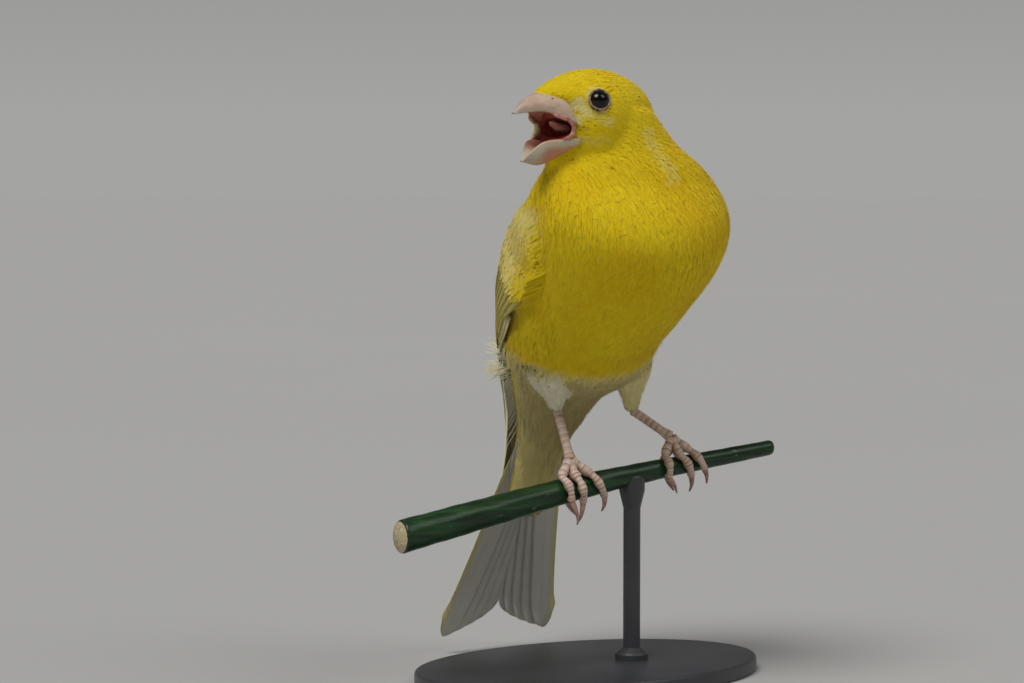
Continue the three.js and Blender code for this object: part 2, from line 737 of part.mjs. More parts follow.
addPart("head", head(), "feather", 0.8);
addPart("neck", neck, "feather", 0.8);
addPart("torso", torso, "feather", 0.8);
addPart("tail", tail(), "pale", 0.7);
addPart("wing_left", wing(1), "pale", 0.7);
addPart("wing_right", wing(-1), "pale", 0.7);
addPart("upper_bill", upperBill(), "bill", 0.35);
addPart("lower_bill", lowerBill(), "bill", 0.35);
addPart("tongue", tongue(), "tongue", 0.3);
addPart("eye_left", eyeball(1, 0), "eye", 0.05);
addPart("eye_right", eyeball(-1, 0), "eye", 0.05);
addLeg("right");
addLeg("left");
addPart("perch", perch(), "cane", 0.4);
addPart("stand_base", standBase(), "stand", 0.5);
addPart("stand_rod", standRod(), "stand", 0.4);

export default bird;
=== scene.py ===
# A yellow canary that sings on a cut length of green cane, held up by a plain display stand.
# Lengths are in millimetres until a piece is made, which turns them into metres.
# The bird faces -Y, its left side is +X, and its head is turned to its right, towards -X.

import math
from itertools import product

import bmesh
import bpy
import numpy as np
from mathutils import Matrix, Vector
from mathutils.bvhtree import BVHTree


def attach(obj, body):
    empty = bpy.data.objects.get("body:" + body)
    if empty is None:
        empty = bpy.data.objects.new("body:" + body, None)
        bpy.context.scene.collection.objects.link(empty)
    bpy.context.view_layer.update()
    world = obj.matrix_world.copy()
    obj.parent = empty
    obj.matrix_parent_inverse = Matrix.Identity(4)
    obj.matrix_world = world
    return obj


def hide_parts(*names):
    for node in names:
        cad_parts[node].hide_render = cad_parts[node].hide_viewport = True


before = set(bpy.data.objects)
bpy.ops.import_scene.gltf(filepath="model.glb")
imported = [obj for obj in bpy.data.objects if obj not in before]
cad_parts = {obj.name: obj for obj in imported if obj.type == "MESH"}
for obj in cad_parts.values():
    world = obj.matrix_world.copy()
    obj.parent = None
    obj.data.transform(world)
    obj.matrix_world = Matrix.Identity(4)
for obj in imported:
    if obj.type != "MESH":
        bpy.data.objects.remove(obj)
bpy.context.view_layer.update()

MM = 0.001
chance = np.random.default_rng(7)

# The trunk as sections square to the spine: x, y, z, half width, depth of the back and of the belly
SPINE = [
    (-3.8, -13.5, 117, 9.4, 7.5, 9),
    (-2.3, -14.4, 110, 14, 10.5, 9.5),
    (-0.4, -15.1, 103.5, 20.2, 13.3, 12),
    (0.5, -13.5, 95.5, 22.3, 16.5, 19.5),
    (-0.4, -7.2, 86.5, 19.6, 18.5, 19.4),
    (-0.9, 0, 77.6, 17.3, 17, 17.3),
    (0.4, 5.8, 69.2, 15.8, 14, 13.6),
    (0, 11.8, 61.4, 11.2, 10.5, 8),
    (0, 17, 53.4, 7.2, 6.2, 7),
    (0, 21.2, 44.3, 5.6, 3.4, 3.6),
    (0, 25.2, 35.4, 5.2, 2.6, 2.4),
    (0, 29.4, 26, 5.6, 2.6, 2.4),
]
LAST = len(SPINE) - 1
HEAD = {"at": (-9.5, -14, 116.5), "front": 14.4, "back": 17.2, "up": 9.9, "down": 14.8, "side": 9.5}
HEAD_TURN = -166  # degrees from +X to the way that the bill points
# Shares: how narrow the face is, how far the jaw draws in, the brow bulges and the crown falls forwards
FACE, JAW, BROW, CROWN_FALL = 0.56, 0.15, 0.22, 0.12

# Places on the head are in its own frame: x to the bill, y to the bird's left and z up
UPPER_BILL = {
    "ridge": [(10, 0, 5.1), (13.6, 0, 4.9), (17.2, 0, 3.4), (20.3, 0, 0.8)],
    "rim": [(7.8, 0, -1.6), (10.6, 0, -0.2), (14.4, 0, 1), (20, 0, 0.5)],
    "half": 5.6,
}
LOWER_BILL = {
    "ridge": [(6.5, 0, -6.6), (9.8, 0, -8.4), (13.4, 0, -9.5), (17.8, 0, -8.9)],
    "rim": [(7.2, 0, -4.2), (10.4, 0, -4.3), (14.4, 0, -5), (17.7, 0, -8.5)],
    "half": 5.8,
}
# How deep a half of the bill is hollowed, how blunt its tip is and how it tapers
SCOOP, BLUNT, BILL_TAPER = 0.24, 0.1, 0.8
MOUTH = [(7.9, -2.2), (8.6, -0.6), (10.2, 0.5), (11.5, 1.4), (14.4, 2.2), (26, 2.2), (26, -11),
         (14.4, -6.6), (11, -5.7), (9.8, -5.1), (9.2, -4), (8.1, -3.1)]
THROAT = {"x": 8, "z": -2.1, "deep": 5, "wide": 4.2, "high": 2}
GAPE = [(12.6, 3.4, 0.5), (10.6, 4.3, -0.1), (9, 4.8, -0.8), (8.3, 5, -2.2), (8.9, 4.9, -3.7),
        (10.8, 4.4, -4.5)]
EYE = {"x": 4, "y": 8, "z": 3.5, "radius": 2.3, "sunk": 1.3}
EYE_OUT = (0.48, 0.82, 0.33)
LID = {"radius": 2.08, "wide": 0.24, "high": 0.22}
NOSTRIL = (12, 2.7, 3.5)
NOSTRIL_SIZE = (0.42, 0.3, 0.26)

TAIL = {"root": (0, 16.4, 59.2), "slope": 65.8, "start": 7, "fork": 52.5, "length": 61, "pairs": 6,
        "half": 3.1}
# The wing from its bend to its tip as shares of the trunk, and the angles of its inner and outer edge
WING_BEND, WING_TIP, WING_LIFT, WING_SLOPE = 0.245, 0.955, 1.1, 0.17
WING_INNER = [42, 32, 23, 20, 24, 32, 30]
WING_OUTER = [96, 109, 93, 72, 58, 53, 46]

CANE = [(-45.5, -2, 32.6), (0, -2, 40.8), (44.8, -2, 46.2)]
CANE_THICK, CANE_THIN = 3.5, 1.6
STAND = {"length": 78, "depth": 51, "height": 3.2, "bevel": 0.7, "rod": 1.8, "saddle": 2.7, "x": 9.5}

# Room between toes and cane, the radius of a tarsus and of a toe, and of a thigh at its hip and heel
GAP, TARSUS, TOE, THIGH = 0.3, 0.95, 0.95, (4.8, 1.75)
# A toe has the x at which it meets the cane, the x of its end and of its claw's tip, the degrees that it
# wraps round the cane and how far the claw's tip stands off it
LEGS = {
    "right": {
        "hip": (-9.5, 0.5, 67), "heel": (-5.6, 3.5, 56.2), "foot": (-5.7, -2.2, 46),
        "toes": {
            "inner": (-2.6, 1.2, 1.6, 138, 3.4),
            "middle": (-5.7, -4, -4.4, 140, 4.8),
            "outer": (-8.6, -7.3, -5.6, 120, 4.6),
            "hallux": (-5.6, -5, -3.4, -135, 3.4),
        },
    },
    "left": {
        "hip": (10.6, 0.5, 67), "heel": (14.1, 5.5, 55.1), "foot": (19.2, -2.2, 49.6),
        "toes": {
            "inner": (16.9, 16.9, 19.4, 122, 3.6),
            "middle": (20.3, 23.1, 23.6, 140, 3.8),
            "outer": (23.4, 26, 26.8, 118, 3),
            "hallux": (19.2, 19.6, 20.6, -135, 3.2),
        },
    },
}
COAT = 0.6  # depth of the plumage over the skin of the body


# Numbers and curves

def smooth(x, a, b):
    x = np.clip((np.asarray(x, float) - a) / (b - a), 0, 1)
    return x * x * (3 - 2 * x)


def mix(a, b, w):
    return a + (b - a) * w


def unit(v):
    return v / np.maximum(np.linalg.norm(v, axis=-1, keepdims=True), 1e-12)


def rail(points):
    """A smooth curve through the points, as a function of 0..1."""
    p = np.array(points, float)
    p = np.vstack([2 * p[0] - p[1], p, 2 * p[-1] - p[-2]])
    gap = np.maximum(np.sqrt(np.linalg.norm(np.diff(p, axis=0), axis=1)), 1e-4)

    def at(t):
        t = np.clip(np.atleast_1d(np.asarray(t, float)), 0, 1) * (len(p) - 3)
        i = np.minimum(t.astype(int), len(p) - 4)
        w = (t - i)[:, None]
        a, b, c, d = p[i], p[i + 1], p[i + 2], p[i + 3]
        g, h, k = gap[i][:, None], gap[i + 1][:, None], gap[i + 2][:, None]
        leave = ((b - a) / g - (c - a) / (g + h) + (c - b) / h) * h
        arrive = ((c - b) / h - (d - b) / (h + k) + (d - c) / k) * h
        bend = -3 * b + 3 * c - 2 * leave - arrive
        return b + w * (leave + w * (bend + w * (2 * b - 2 * c + leave + arrive)))

    return at


def nearest_step(line, at):
    """Which point of a line is the nearest to each place, some thousands of places at a time."""
    parts = np.array_split(at, 1 + len(at) // 4000)
    return np.concatenate([((part[:, None] - line) ** 2).sum(2).argmin(1) for part in parts])


spine = rail([s[:3] for s in SPINE])
girth = rail([s[3:] for s in SPINE])


def spine_way(t):
    return unit(spine(np.minimum(t + 1e-4, 1)) - spine(np.maximum(t - 1e-4, 0)))


def trunk_point(t, angle, proud=0.0, reach=1.0):
    """The trunk's surface. Angle 0 is the midline of the back, a right angle the left side."""
    t, angle, proud, reach = (np.array(a, float) for a in np.broadcast_arrays(t, angle, proud, reach))
    at, way, size = spine(t), spine_way(t), girth(t)
    lift = np.cos(angle)
    depth = (np.where(lift > 0, size[:, 1], size[:, 2]) + proud) * reach
    at[:, 0] += np.sin(angle) * (size[:, 0] + proud) * reach
    at[:, 1] -= way[:, 2] * lift * depth
    at[:, 2] += way[:, 1] * lift * depth
    return at


TURN_COS, TURN_SIN = math.cos(math.radians(HEAD_TURN)), math.sin(math.radians(HEAD_TURN))
HEAD_WAYS = np.array([[TURN_COS, TURN_SIN, 0], [-TURN_SIN, TURN_COS, 0], [0, 0, 1]])


def in_head(local):
    """From the head's own frame, x to the bill, y to the left and z up, to the model's."""
    return np.array(HEAD["at"]) + np.asarray(local, float) @ HEAD_WAYS


def to_head(at):
    return (at - np.array(HEAD["at"])) @ HEAD_WAYS.T


def head_surface(d, proud):
    """The head's surface, in the ways d from its middle."""
    x, z = d[:, 0], d[:, 2]
    face = mix(1, FACE, smooth(x, 0.1, 0.75)) * (1 - JAW * smooth(-z, 0.15, 0.6) * smooth(x, 0.2, 0.6))
    brow = HEAD["front"] * (1 + BROW * smooth(z, 0.2, 0.55))
    crown = HEAD["up"] * (1 - CROWN_FALL * smooth(x, -0.2, 0.9))
    size = [np.where(x > 0, brow, HEAD["back"]), HEAD["side"] * face, np.where(z > 0, crown, HEAD["down"])]
    return in_head(d * (np.stack(size, 1) + proud))


# Shapes

def put(bm, place):
    """Moves every point of a mesh by a function of all their places."""
    bm.verts.ensure_lookup_table()
    moved = place(np.array([v.co for v in bm.verts]))
    for v, at in zip(bm.verts, moved):
        v.co = at
    return bm


def ball(place, around=32, rings=20):
    """A round closed form from the directions of a unit sphere."""
    bm = bmesh.new()
    bmesh.ops.create_uvsphere(bm, u_segments=around, v_segments=rings, radius=1)
    return put(bm, place)


def loft(place, around=32, along=20):
    """A closed form with flat ends, from shares along it, angles round it and a reach of 1 or 0."""
    def at(d):
        ring = np.rint(np.arccos(np.clip(-d[:, 2], -1, 1)) / np.pi * (along + 2))
        pole = (ring == 0) | (ring == along + 2)
        share = np.clip((ring - 1) / along, 0, 1)
        return place(share, np.arctan2(d[:, 0], d[:, 1]), np.where(pole, 0.0, 1.0))

    return ball(at, around, along + 2)


def limb(points, radius, facing, around, along, cap):
    """A limb along a curve, whose ends round off over the share cap.

    facing(points) gives the way its top looks and radius(share, angle) its size.
    """
    curve, steps = rail(points), np.linspace(0, 1, 300)
    run = np.r_[0, np.cumsum(np.linalg.norm(np.diff(curve(steps), axis=0), axis=1))]

    def place(share, angle, reach):
        t = np.interp(share * run[-1], run, steps)
        at = curve(t)
        way = unit(curve(np.minimum(t + 0.01, 1)) - curve(np.maximum(t - 0.01, 0)))
        top = facing(at)
        top = unit(top - way * (top * way).sum(1, keepdims=True))
        side = np.cross(way, top)
        near = np.maximum(0, 1 - np.minimum(share, 1 - share) / cap)
        r = radius(share, angle) * reach * np.sqrt(np.maximum(1 - near**2, 0.02))
        return at + top * (np.cos(angle) * r)[:, None] + side * (np.sin(angle) * r)[:, None]

    return loft(place, around, along)


def merged(parts):
    """Several closed forms in one mesh."""
    whole = bmesh.new()
    for bm in parts:
        mesh = bpy.data.meshes.new("part")
        bm.to_mesh(mesh)
        bm.free()
        whole.from_mesh(mesh)
        bpy.data.meshes.remove(mesh)
    return whole


def made(name, bm, materials, smooth_faces=True):
    """A finished object in metres from a mesh in millimetres."""
    bmesh.ops.scale(bm, vec=(MM, MM, MM), verts=bm.verts)
    bmesh.ops.recalc_face_normals(bm, faces=bm.faces)
    mesh = bpy.data.meshes.new(name)
    bm.to_mesh(mesh)
    bm.free()
    for material in materials:
        mesh.materials.append(material)
    mesh.polygons.foreach_set("use_smooth", [smooth_faces] * len(mesh.polygons))
    piece = bpy.data.objects.new(name, mesh)
    bpy.context.scene.collection.objects.link(piece)
    return piece


def modifier(piece, kind, **settings):
    added = piece.modifiers.new(kind.lower(), kind)
    for key, value in settings.items():
        setattr(added, key, value)
    return added


def applied(piece):
    """Bakes the modifiers of a piece into its mesh."""
    shape = bpy.data.meshes.new_from_object(piece.evaluated_get(bpy.context.evaluated_depsgraph_get()))
    old = piece.data
    piece.modifiers.clear()
    piece.data = shape
    shape.name = old.name
    bpy.data.meshes.remove(old)
    shape.polygons.foreach_set("use_smooth", [True] * len(shape.polygons))
    return piece


def carved(piece, cutter):
    """Cuts a closed mesh out of a piece."""
    tool = made("cutter", cutter, [])
    modifier(piece, "BOOLEAN", object=tool, operation="DIFFERENCE", solver="EXACT")
    applied(piece)
    bpy.data.objects.remove(tool)
    return piece


def dressed(piece, slot, *nodes):
    """Fixes a piece to the body, in place of the solids that it stands for, if any."""
    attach(piece, "root")
    if nodes:
        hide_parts(*nodes)
    return piece


def points_of(mesh):
    at = np.empty(len(mesh.vertices) * 3, np.float32)
    mesh.vertices.foreach_get("co", at)
    return at.reshape(-1, 3).astype(float) / MM


def add_number(mesh, name, values):
    mesh.attributes.new(name, "FLOAT", "POINT").data.foreach_set("value", np.asarray(values, np.float32))


# Finishes

class Finish:
    """A material whose pattern comes from nodes."""

    def __init__(self, name, roughness, **sockets):
        self.material = bpy.data.materials.new(name)
        self.material.use_nodes = True
        self.tree = self.material.node_tree
        self.shader = self.tree.nodes["Principled BSDF"]
        self.shader.inputs["Roughness"].default_value = roughness
        for key, value in sockets.items():
            self.shader.inputs[key.replace("_", " ")].default_value = value

    def node(self, kind, links=(), **settings):
        made_node = self.tree.nodes.new(kind)
        for key, value in settings.items():
            if hasattr(made_node, key):
                setattr(made_node, key, value)
            else:
                made_node.inputs[key.replace("_", " ")].default_value = value
        for socket, source in links:
            self.tree.links.new(source, made_node.inputs[socket])
        return made_node

    def feed(self, made_node, values):
        """Sets sockets of a node to numbers or colours, or links them to what other nodes give."""
        for socket, value in values.items():
            if isinstance(value, tuple):
                made_node.inputs[socket].default_value = (*value, 1)
            elif isinstance(value, (int, float)):
                made_node.inputs[socket].default_value = value
            else:
                self.tree.links.new(value, made_node.inputs[socket])
        return made_node

    def number(self, name):
        return self.node("ShaderNodeAttribute", attribute_name=name).outputs["Fac"]

    def places(self, scale=(1, 1, 1), uv=None):
        if uv:
            source = self.node("ShaderNodeUVMap", uv_map=uv).outputs["UV"]
        else:
            source = self.node("ShaderNodeTexCoord").outputs["Object"]
        return self.node("ShaderNodeMapping", [("Vector", source)], Scale=scale).outputs["Vector"]

    def on_vane(self):
        """Where a point lies across its own vane and along it."""
        split = self.node("ShaderNodeSeparateXYZ", [("Vector", self.places(uv="vane"))])
        return split.outputs["X"], split.outputs["Y"]

    def noise(self, scale, detail=2.0, stretch=(1, 1, 1), uv=None, rough=0.5):
        where = self.places(stretch, uv)
        return self.node("ShaderNodeTexNoise", [("Vector", where)], Scale=scale, Detail=detail,
                         Roughness=rough).outputs["Fac"]

    def sums(self, operation, *values, clamp=False):
        made_node = self.node("ShaderNodeMath", operation=operation, use_clamp=clamp)
        return self.feed(made_node, dict(enumerate(values))).outputs[0]

    def span(self, value, a, b, most=1.0):
        """From nothing where a value is a, to most where it is b."""
        return self.node("ShaderNodeMapRange", [("Value", value)], From_Min=a, From_Max=b, To_Max=most,
                         interpolation_type="SMOOTHSTEP").outputs["Result"]

    def blend(self, share, first, second, kind="MIX"):
        made_node = self.node("ShaderNodeMix", data_type="RGBA", blend_type=kind)
        return self.feed(made_node, {0: share, 6: first, 7: second}).outputs[2]

    def fade(self, value, a, b, first, second, most=1.0, kind="MIX"):
        """From one colour where a value is a, towards another where it is b."""
        return self.blend(self.span(value, a, b, most), first, second, kind)

    def colour(self, source):
        self.tree.links.new(source, self.shader.inputs["Base Color"])
        return self

    def bump(self, height, distance):
        bump = self.node("ShaderNodeBump", [("Height", height)], Distance=distance * MM)
        self.tree.links.new(bump.outputs["Normal"], self.shader.inputs["Normal"])
        return self


def grained(name, roughness, scale, dark, light, relief, detail=2.0, low=0.3, stretch=(1, 1, 1), **sockets):
    """A finish that is a fine grain between two colours."""
    look = Finish(name, roughness, **sockets)
    grain = look.noise(scale, detail, stretch)
    return look.colour(look.fade(grain, low, 0.7, dark, light)).bump(grain, relief).material


LEMON = (0.90, 0.705, 0.014)
GOLD = (0.87, 0.625, 0.008)
CREAM = (0.91, 0.82, 0.34)
WHITE = (0.90, 0.87, 0.70)
BUFF = (0.56, 0.47, 0.22)
DUSK = (0.20, 0.14, 0.05)


def plumage(name, own_vanes):
    """Yellow plumage, paler where "pale" and "white" are high, speckled brown where "dusk" is."""
    look = Finish(name, 0.9, Sheen_Weight=0.05, Sheen_Roughness=0.6, Specular_IOR_Level=0.05)
    fine = look.noise(700.0)
    yellow = look.fade(look.noise(70.0, 3.0), 0.36, 0.7, LEMON, GOLD)
    grain = look.sums("SUBTRACT", fine, 0.5)
    pale = look.sums("MULTIPLY_ADD", grain, 0.7, look.number("pale"), clamp=True)
    body = look.fade(pale, 0.08, 0.9, yellow, CREAM)
    body = look.blend(look.number("buff"), body, BUFF)
    body = look.fade(look.number("white"), 0.1, 0.9, body, WHITE)
    dusk = look.number("dusk")
    specks = look.sums("MAXIMUM", look.span(look.noise(1500.0), 0.5, 0.6), look.span(dusk, 0.6, 1.0))
    body = look.blend(look.sums("MULTIPLY", dusk, specks), body, DUSK)
    if own_vanes:
        body = look.fade(look.on_vane()[1], 0.7, 1.0, body, (0.93, 0.80, 0.22), 0.3)
        tone = look.sums("MULTIPLY", look.number("tone"), 0.45)
        body = look.blend(tone, body, (0.90, 0.85, 0.68), "MULTIPLY")
        barbs = look.noise(1.0, 3.0, (9, 1.3, 1), "vane")
        shade = look.fade(barbs, 0.42, 0.75, (1, 1, 1), (0.87, 0.82, 0.68))
        body = look.blend(1.0, body, shade, "MULTIPLY")
    else:
        # The bare skin's yellow is darkened all over: painted shade between the feathers.
        body = look.blend(1.0, body, (0.90, 0.84, 0.7), "MULTIPLY")
        flesh = look.fade(fine, 0.3, 0.7, (0.26, 0.03, 0.02), (0.38, 0.06, 0.042))
        body = look.blend(look.number("mouth"), body, flesh)
        look.bump(fine, 0.15)
    return look.colour(body).material


def flight(name, edge, dark, light):
    """Flight feathers: whitish with an edge of their own, fine barbs and a light shaft, some yellow."""
    look = Finish(name, 0.62, Sheen_Weight=0.1, Specular_IOR_Level=0.2)
    across, along = look.on_vane()
    off = look.sums("ABSOLUTE", look.sums("SUBTRACT", across, 0.5))
    slant = look.sums("MULTIPLY_ADD", off, -1.2, along)
    ripple = look.node("ShaderNodeCombineXYZ", [("Y", slant), ("X", look.number("tone"))])
    barbs = look.node("ShaderNodeTexWave", [("Vector", ripple.outputs["Vector"])], bands_direction="Y",
                      Scale=34.0, Distortion=2.5, Detail=3.0, Detail_Scale=2.0).outputs["Fac"]
    streaks = look.noise(1.0, 3.0, (16, 1.2, 1), "vane")
    base = look.fade(look.noise(160.0), 0.3, 0.7, dark, light)
    base = look.fade(across, 0.72, 0.95, base, edge)
    base = look.blend(look.number("yellow"), base, look.blend(streaks, LEMON, CREAM))
    base = look.fade(barbs, 0.1, 0.9, base, (0.6, 0.55, 0.4), 0.12, "MULTIPLY")
    base = look.fade(streaks, 0.45, 0.7, base, (0.86, 0.80, 0.62), 0.22, "MULTIPLY")
    base = look.fade(off, 0.04, 0.015, base, (0.84, 0.76, 0.56), 0.6)
    tone = look.sums("MULTIPLY", look.number("tone"), 0.12)
    base = look.blend(tone, base, (0.84, 0.78, 0.62), "MULTIPLY")
    return look.colour(base).bump(barbs, 0.05).material


def horn():
    """The bill: greyish pink horn, paler along its cutting edge and redder low on the lower half."""
    look = Finish("bill_horn", 0.42, Subsurface_Weight=0.08, Subsurface_Scale=0.0006, Coat_Weight=0.06,
                  Coat_Roughness=0.35, Specular_IOR_Level=0.35)
    grain = look.noise(420.0, 3.0, (1, 1, 2.5))
    base = look.fade(grain, 0.3, 0.75, (0.56, 0.38, 0.28), (0.66, 0.50, 0.38))
    for part, tint in (("low", (0.58, 0.27, 0.19)), ("edge", (0.66, 0.60, 0.44)),
                       ("tip", (0.50, 0.40, 0.33)), ("inside", (0.50, 0.20, 0.14))):
        base = look.blend(look.number(part), base, tint)
    base = look.fade(look.noise(1600.0), 0.5, 0.75, base, (0.78, 0.72, 0.66), 0.35, "MULTIPLY")
    return look.colour(base).bump(grain, 0.05).material


def leg_skin():
    """Scaly skin: greyish pink plates, with redder creases between them."""
    look = Finish("leg_skin", 0.55, Subsurface_Weight=0.08, Subsurface_Scale=0.0005,
                  Specular_IOR_Level=0.35)
    base = look.fade(look.noise(300.0), 0.3, 0.7, (0.48, 0.30, 0.22), (0.66, 0.49, 0.39))
    base = look.blend(look.number("scute"), base, (0.78, 0.66, 0.56))
    base = look.blend(look.number("crease"), base, (0.34, 0.13, 0.08))
    return look.colour(base).bump(look.noise(1500.0, 3.0), 0.06).material


def gape_skin():
    """The soft folds at the corners of the bill."""
    look = Finish("gape_skin", 0.5, Specular_IOR_Level=0.3)
    grain = look.noise(1300.0, 3.0)
    base = look.fade(grain, 0.32, 0.7, (0.40, 0.13, 0.09), (0.62, 0.34, 0.25))
    base = look.blend(look.number("rim"), base, (0.74, 0.66, 0.34))
    return look.colour(base).bump(grain, 0.08).material


def eye_gloss():
    look = Finish("eye", 0.16, Specular_IOR_Level=0.25, Coat_Weight=0.2, Coat_Roughness=0.05)
    brown = look.fade(look.noise(2200.0), 0.3, 0.7, (0.006, 0.003, 0.002), (0.014, 0.007, 0.004))
    return look.colour(look.blend(look.number("iris"), (0.001, 0.001, 0.001), brown)).material


def cane_bark():
    """Smooth green bark with long streaks, a few scuffs and paler specks."""
    look = Finish("cane_bark", 0.36, Coat_Weight=0.12, Coat_Roughness=0.2, Specular_IOR_Level=0.3)
    streaks = look.noise(900.0, 4.0, (0.09, 1, 1), rough=0.6)
    base = look.fade(streaks, 0.35, 0.7, (0.006, 0.030, 0.010), (0.022, 0.085, 0.026))
    base = look.fade(look.noise(70.0, 3.0), 0.4, 0.75, base, (0.012, 0.022, 0.008), 0.5)
    base = look.fade(look.noise(1400.0, 3.0, (0.4, 1, 1)), 0.66, 0.78, base, (0.20, 0.32, 0.16), 0.6)
    return look.colour(base).bump(streaks, 0.08).material


def enamel():
    look = Finish("stand_enamel", 0.42, Coat_Weight=0.1, Coat_Roughness=0.3)
    base = look.fade(look.noise(60.0), 0.3, 0.7, (0.035, 0.037, 0.042), (0.05, 0.052, 0.058))
    return look.colour(base).bump(look.noise(2600.0), 0.03).material


BODY_PLUMAGE = plumage("body_plumage", True)
# The skin's finish, with its yellow darkened as painted shade between the feathers.
SHADED_SKIN = plumage("skin", False)
WING_VANE = flight("wing_vane", (0.88, 0.84, 0.62), WHITE, (0.84, 0.80, 0.60))
TAIL_VANE = flight("tail_vane", (0.92, 0.84, 0.40), (0.93, 0.92, 0.85), (0.90, 0.89, 0.80))
HORN, LEG_SKIN, EYE_GLOSS, ENAMEL = horn(), leg_skin(), eye_gloss(), enamel()
CLAW = grained("claw_horn", 0.32, 900.0, (0.34, 0.17, 0.13), (0.55, 0.34, 0.27), relief=0.03,
               Coat_Weight=0.1)
LID_SKIN = grained("lid_skin", 0.6, 1800.0, (0.13, 0.09, 0.06), (0.40, 0.31, 0.22), relief=0.12)
TONGUE = grained("tongue_flesh", 0.3, 900.0, (0.56, 0.24, 0.18), (0.68, 0.40, 0.31), relief=0.06,
                 Subsurface_Weight=0.2, Subsurface_Scale=0.0008)
PITH = grained("cane_pith", 0.8, 1800.0, (0.45, 0.36, 0.2), (0.66, 0.58, 0.38), relief=0.15, detail=3.0,
               low=0.35, stretch=(0.1, 1, 1))


# Wing and tail places

wing_rails = rail([(math.radians(a), math.radians(b), 0) for a, b in zip(WING_INNER, WING_OUTER)])


def wing_point(side, s, w, off, lift):
    """The folded wing: s from its bend to its tip, w from its inner to its outer edge."""
    s, w, off, lift = (np.array(a, float) for a in np.broadcast_arrays(s, w, off, lift))
    t, edges = mix(WING_BEND, WING_TIP, s), wing_rails(s)
    angle = mix(edges[:, 0], edges[:, 1], w) + off / girth(t)[:, 0]
    return trunk_point(t, side * angle, lift)


def wing_edges(t):
    """The angles of the folded wing's inner and outer edge at places along the trunk."""
    return wing_rails((t - WING_BEND) / (WING_TIP - WING_BEND))


SLOPE_COS, SLOPE_SIN = math.cos(math.radians(TAIL["slope"])), math.sin(math.radians(TAIL["slope"]))
TAIL_WAY, TAIL_UP = np.array([0, SLOPE_COS, -SLOPE_SIN]), np.array([0, SLOPE_SIN, SLOPE_COS])


def tail_point(along, across, lift):
    at = np.array(TAIL["root"]) + along[:, None] * TAIL_WAY + lift[:, None] * TAIL_UP
    at[:, 0] += across
    return at


# The skin: head, neck, trunk, thighs and the cushions of the wings' bends in one

def swept(bm, geometry, way):
    """Extrudes faces of a mesh straight along a way."""
    moved = bmesh.ops.extrude_face_region(bm, geom=geometry)["geom"]
    bmesh.ops.translate(bm, vec=way, verts=[v for v in moved if isinstance(v, bmesh.types.BMVert)])


def mouth_cutter():
    notch = bmesh.new()
    side = notch.faces.new([notch.verts.new((x, -HEAD["side"], z)) for x, z in MOUTH])
    swept(notch, [side], (0, 2 * HEAD["side"], 0))
    bmesh.ops.recalc_face_normals(notch, faces=notch.faces)
    return put(notch, in_head)


def throat_cutter():
    size = np.array([THROAT["deep"], THROAT["wide"], THROAT["high"]])
    return ball(lambda d: in_head(np.array([THROAT["x"], 0, THROAT["z"]]) + d * size), 24, 16)


def one_way(x, y, z):
    """The same way at all places."""
    return lambda at: np.tile([float(x), float(y), float(z)], (len(at), 1))


def thigh(leg):
    return limb([leg["hip"], leg["heel"]], lambda share, angle: mix(*THIGH, smooth(share, 0, 1)) - 0.5,
                one_way(0, -1, 0.2), around=24, along=20, cap=0.08)


def trunk_form(low, high, proud):
    """The trunk between two of its sections."""
    return loft(lambda share, angle, reach: trunk_point(mix(low / LAST, high / LAST, share), angle, proud,
                                                        reach), 56, 60)


def wing_cushion(side):
    """A flat pad under the wing's bend."""
    return ball(lambda d: wing_point(side, 0.19 + 0.17 * d[:, 0], 0.52 + 0.45 * d[:, 1], 0,
                                     0.3 + 1.2 * d[:, 2]), 32, 16)


def smoothed(piece, times, group=""):
    modifier(piece, "SMOOTH", factor=0.5, iterations=times, vertex_group=group)
    return applied(piece)


def make_skin():
    forms = [
        ball(lambda d: head_surface(d, -0.4), 56, 40),
        trunk_form(0, 8, -COAT),
        trunk_form(7.9, 10.3, -0.7),
        *[thigh(leg) for leg in (LEGS["left"], LEGS["right"])],
        *[wing_cushion(side) for side in (1, -1)],
    ]
    skin = made("skin", merged(forms), [SHADED_SKIN])
    modifier(skin, "REMESH", mode="VOXEL", voxel_size=0.5 * MM)
    smoothed(skin, 8)
    at = points_of(skin.data)
    behind = smooth(at[:, 2], 94, 98) * smooth(at[:, 2], 109, 104) * smooth(at[:, 1], -22, -16)
    nape = skin.vertex_groups.new(name="nape")
    for i in np.flatnonzero(behind > 0):
        nape.add([int(i)], behind[i], "REPLACE")
    smoothed(skin, 90, "nape")
    return carved(carved(skin, mouth_cutter()), throat_cutter())


def tree_of(*pieces):
    spots, faces = [], []
    for piece in pieces:
        faces += [tuple(i + len(spots) for i in p.vertices) for p in piece.data.polygons]
        spots += [v.co / MM for v in piece.data.vertices]
    return BVHTree.FromPolygons(spots, faces)


skin = make_skin()
skin_tree = tree_of(skin)


def nearest(tree, points):
    """The closest points of a surface, with the way that it faces there."""
    hits = [tree.find_nearest(Vector(p)) for p in points]
    return np.array([h[0] for h in hits]), np.array([h[1] for h in hits]), np.array([h[3] for h in hits])


# Markings, which the skin and the plumage share

spine_steps = np.linspace(0, 1, 240)
spine_places = spine(spine_steps)


def station(at):
    """Where a point lies along the trunk, 0 at the head's top and 1 down the tail, and its angle round it."""
    t = spine_steps[nearest_step(spine_places, at)]
    from_spine = at - spine(t)
    way = spine_way(t)
    lift = from_spine[:, 2] * way[:, 1] - from_spine[:, 1] * way[:, 2]
    return t, np.arctan2(from_spine[:, 0], lift)


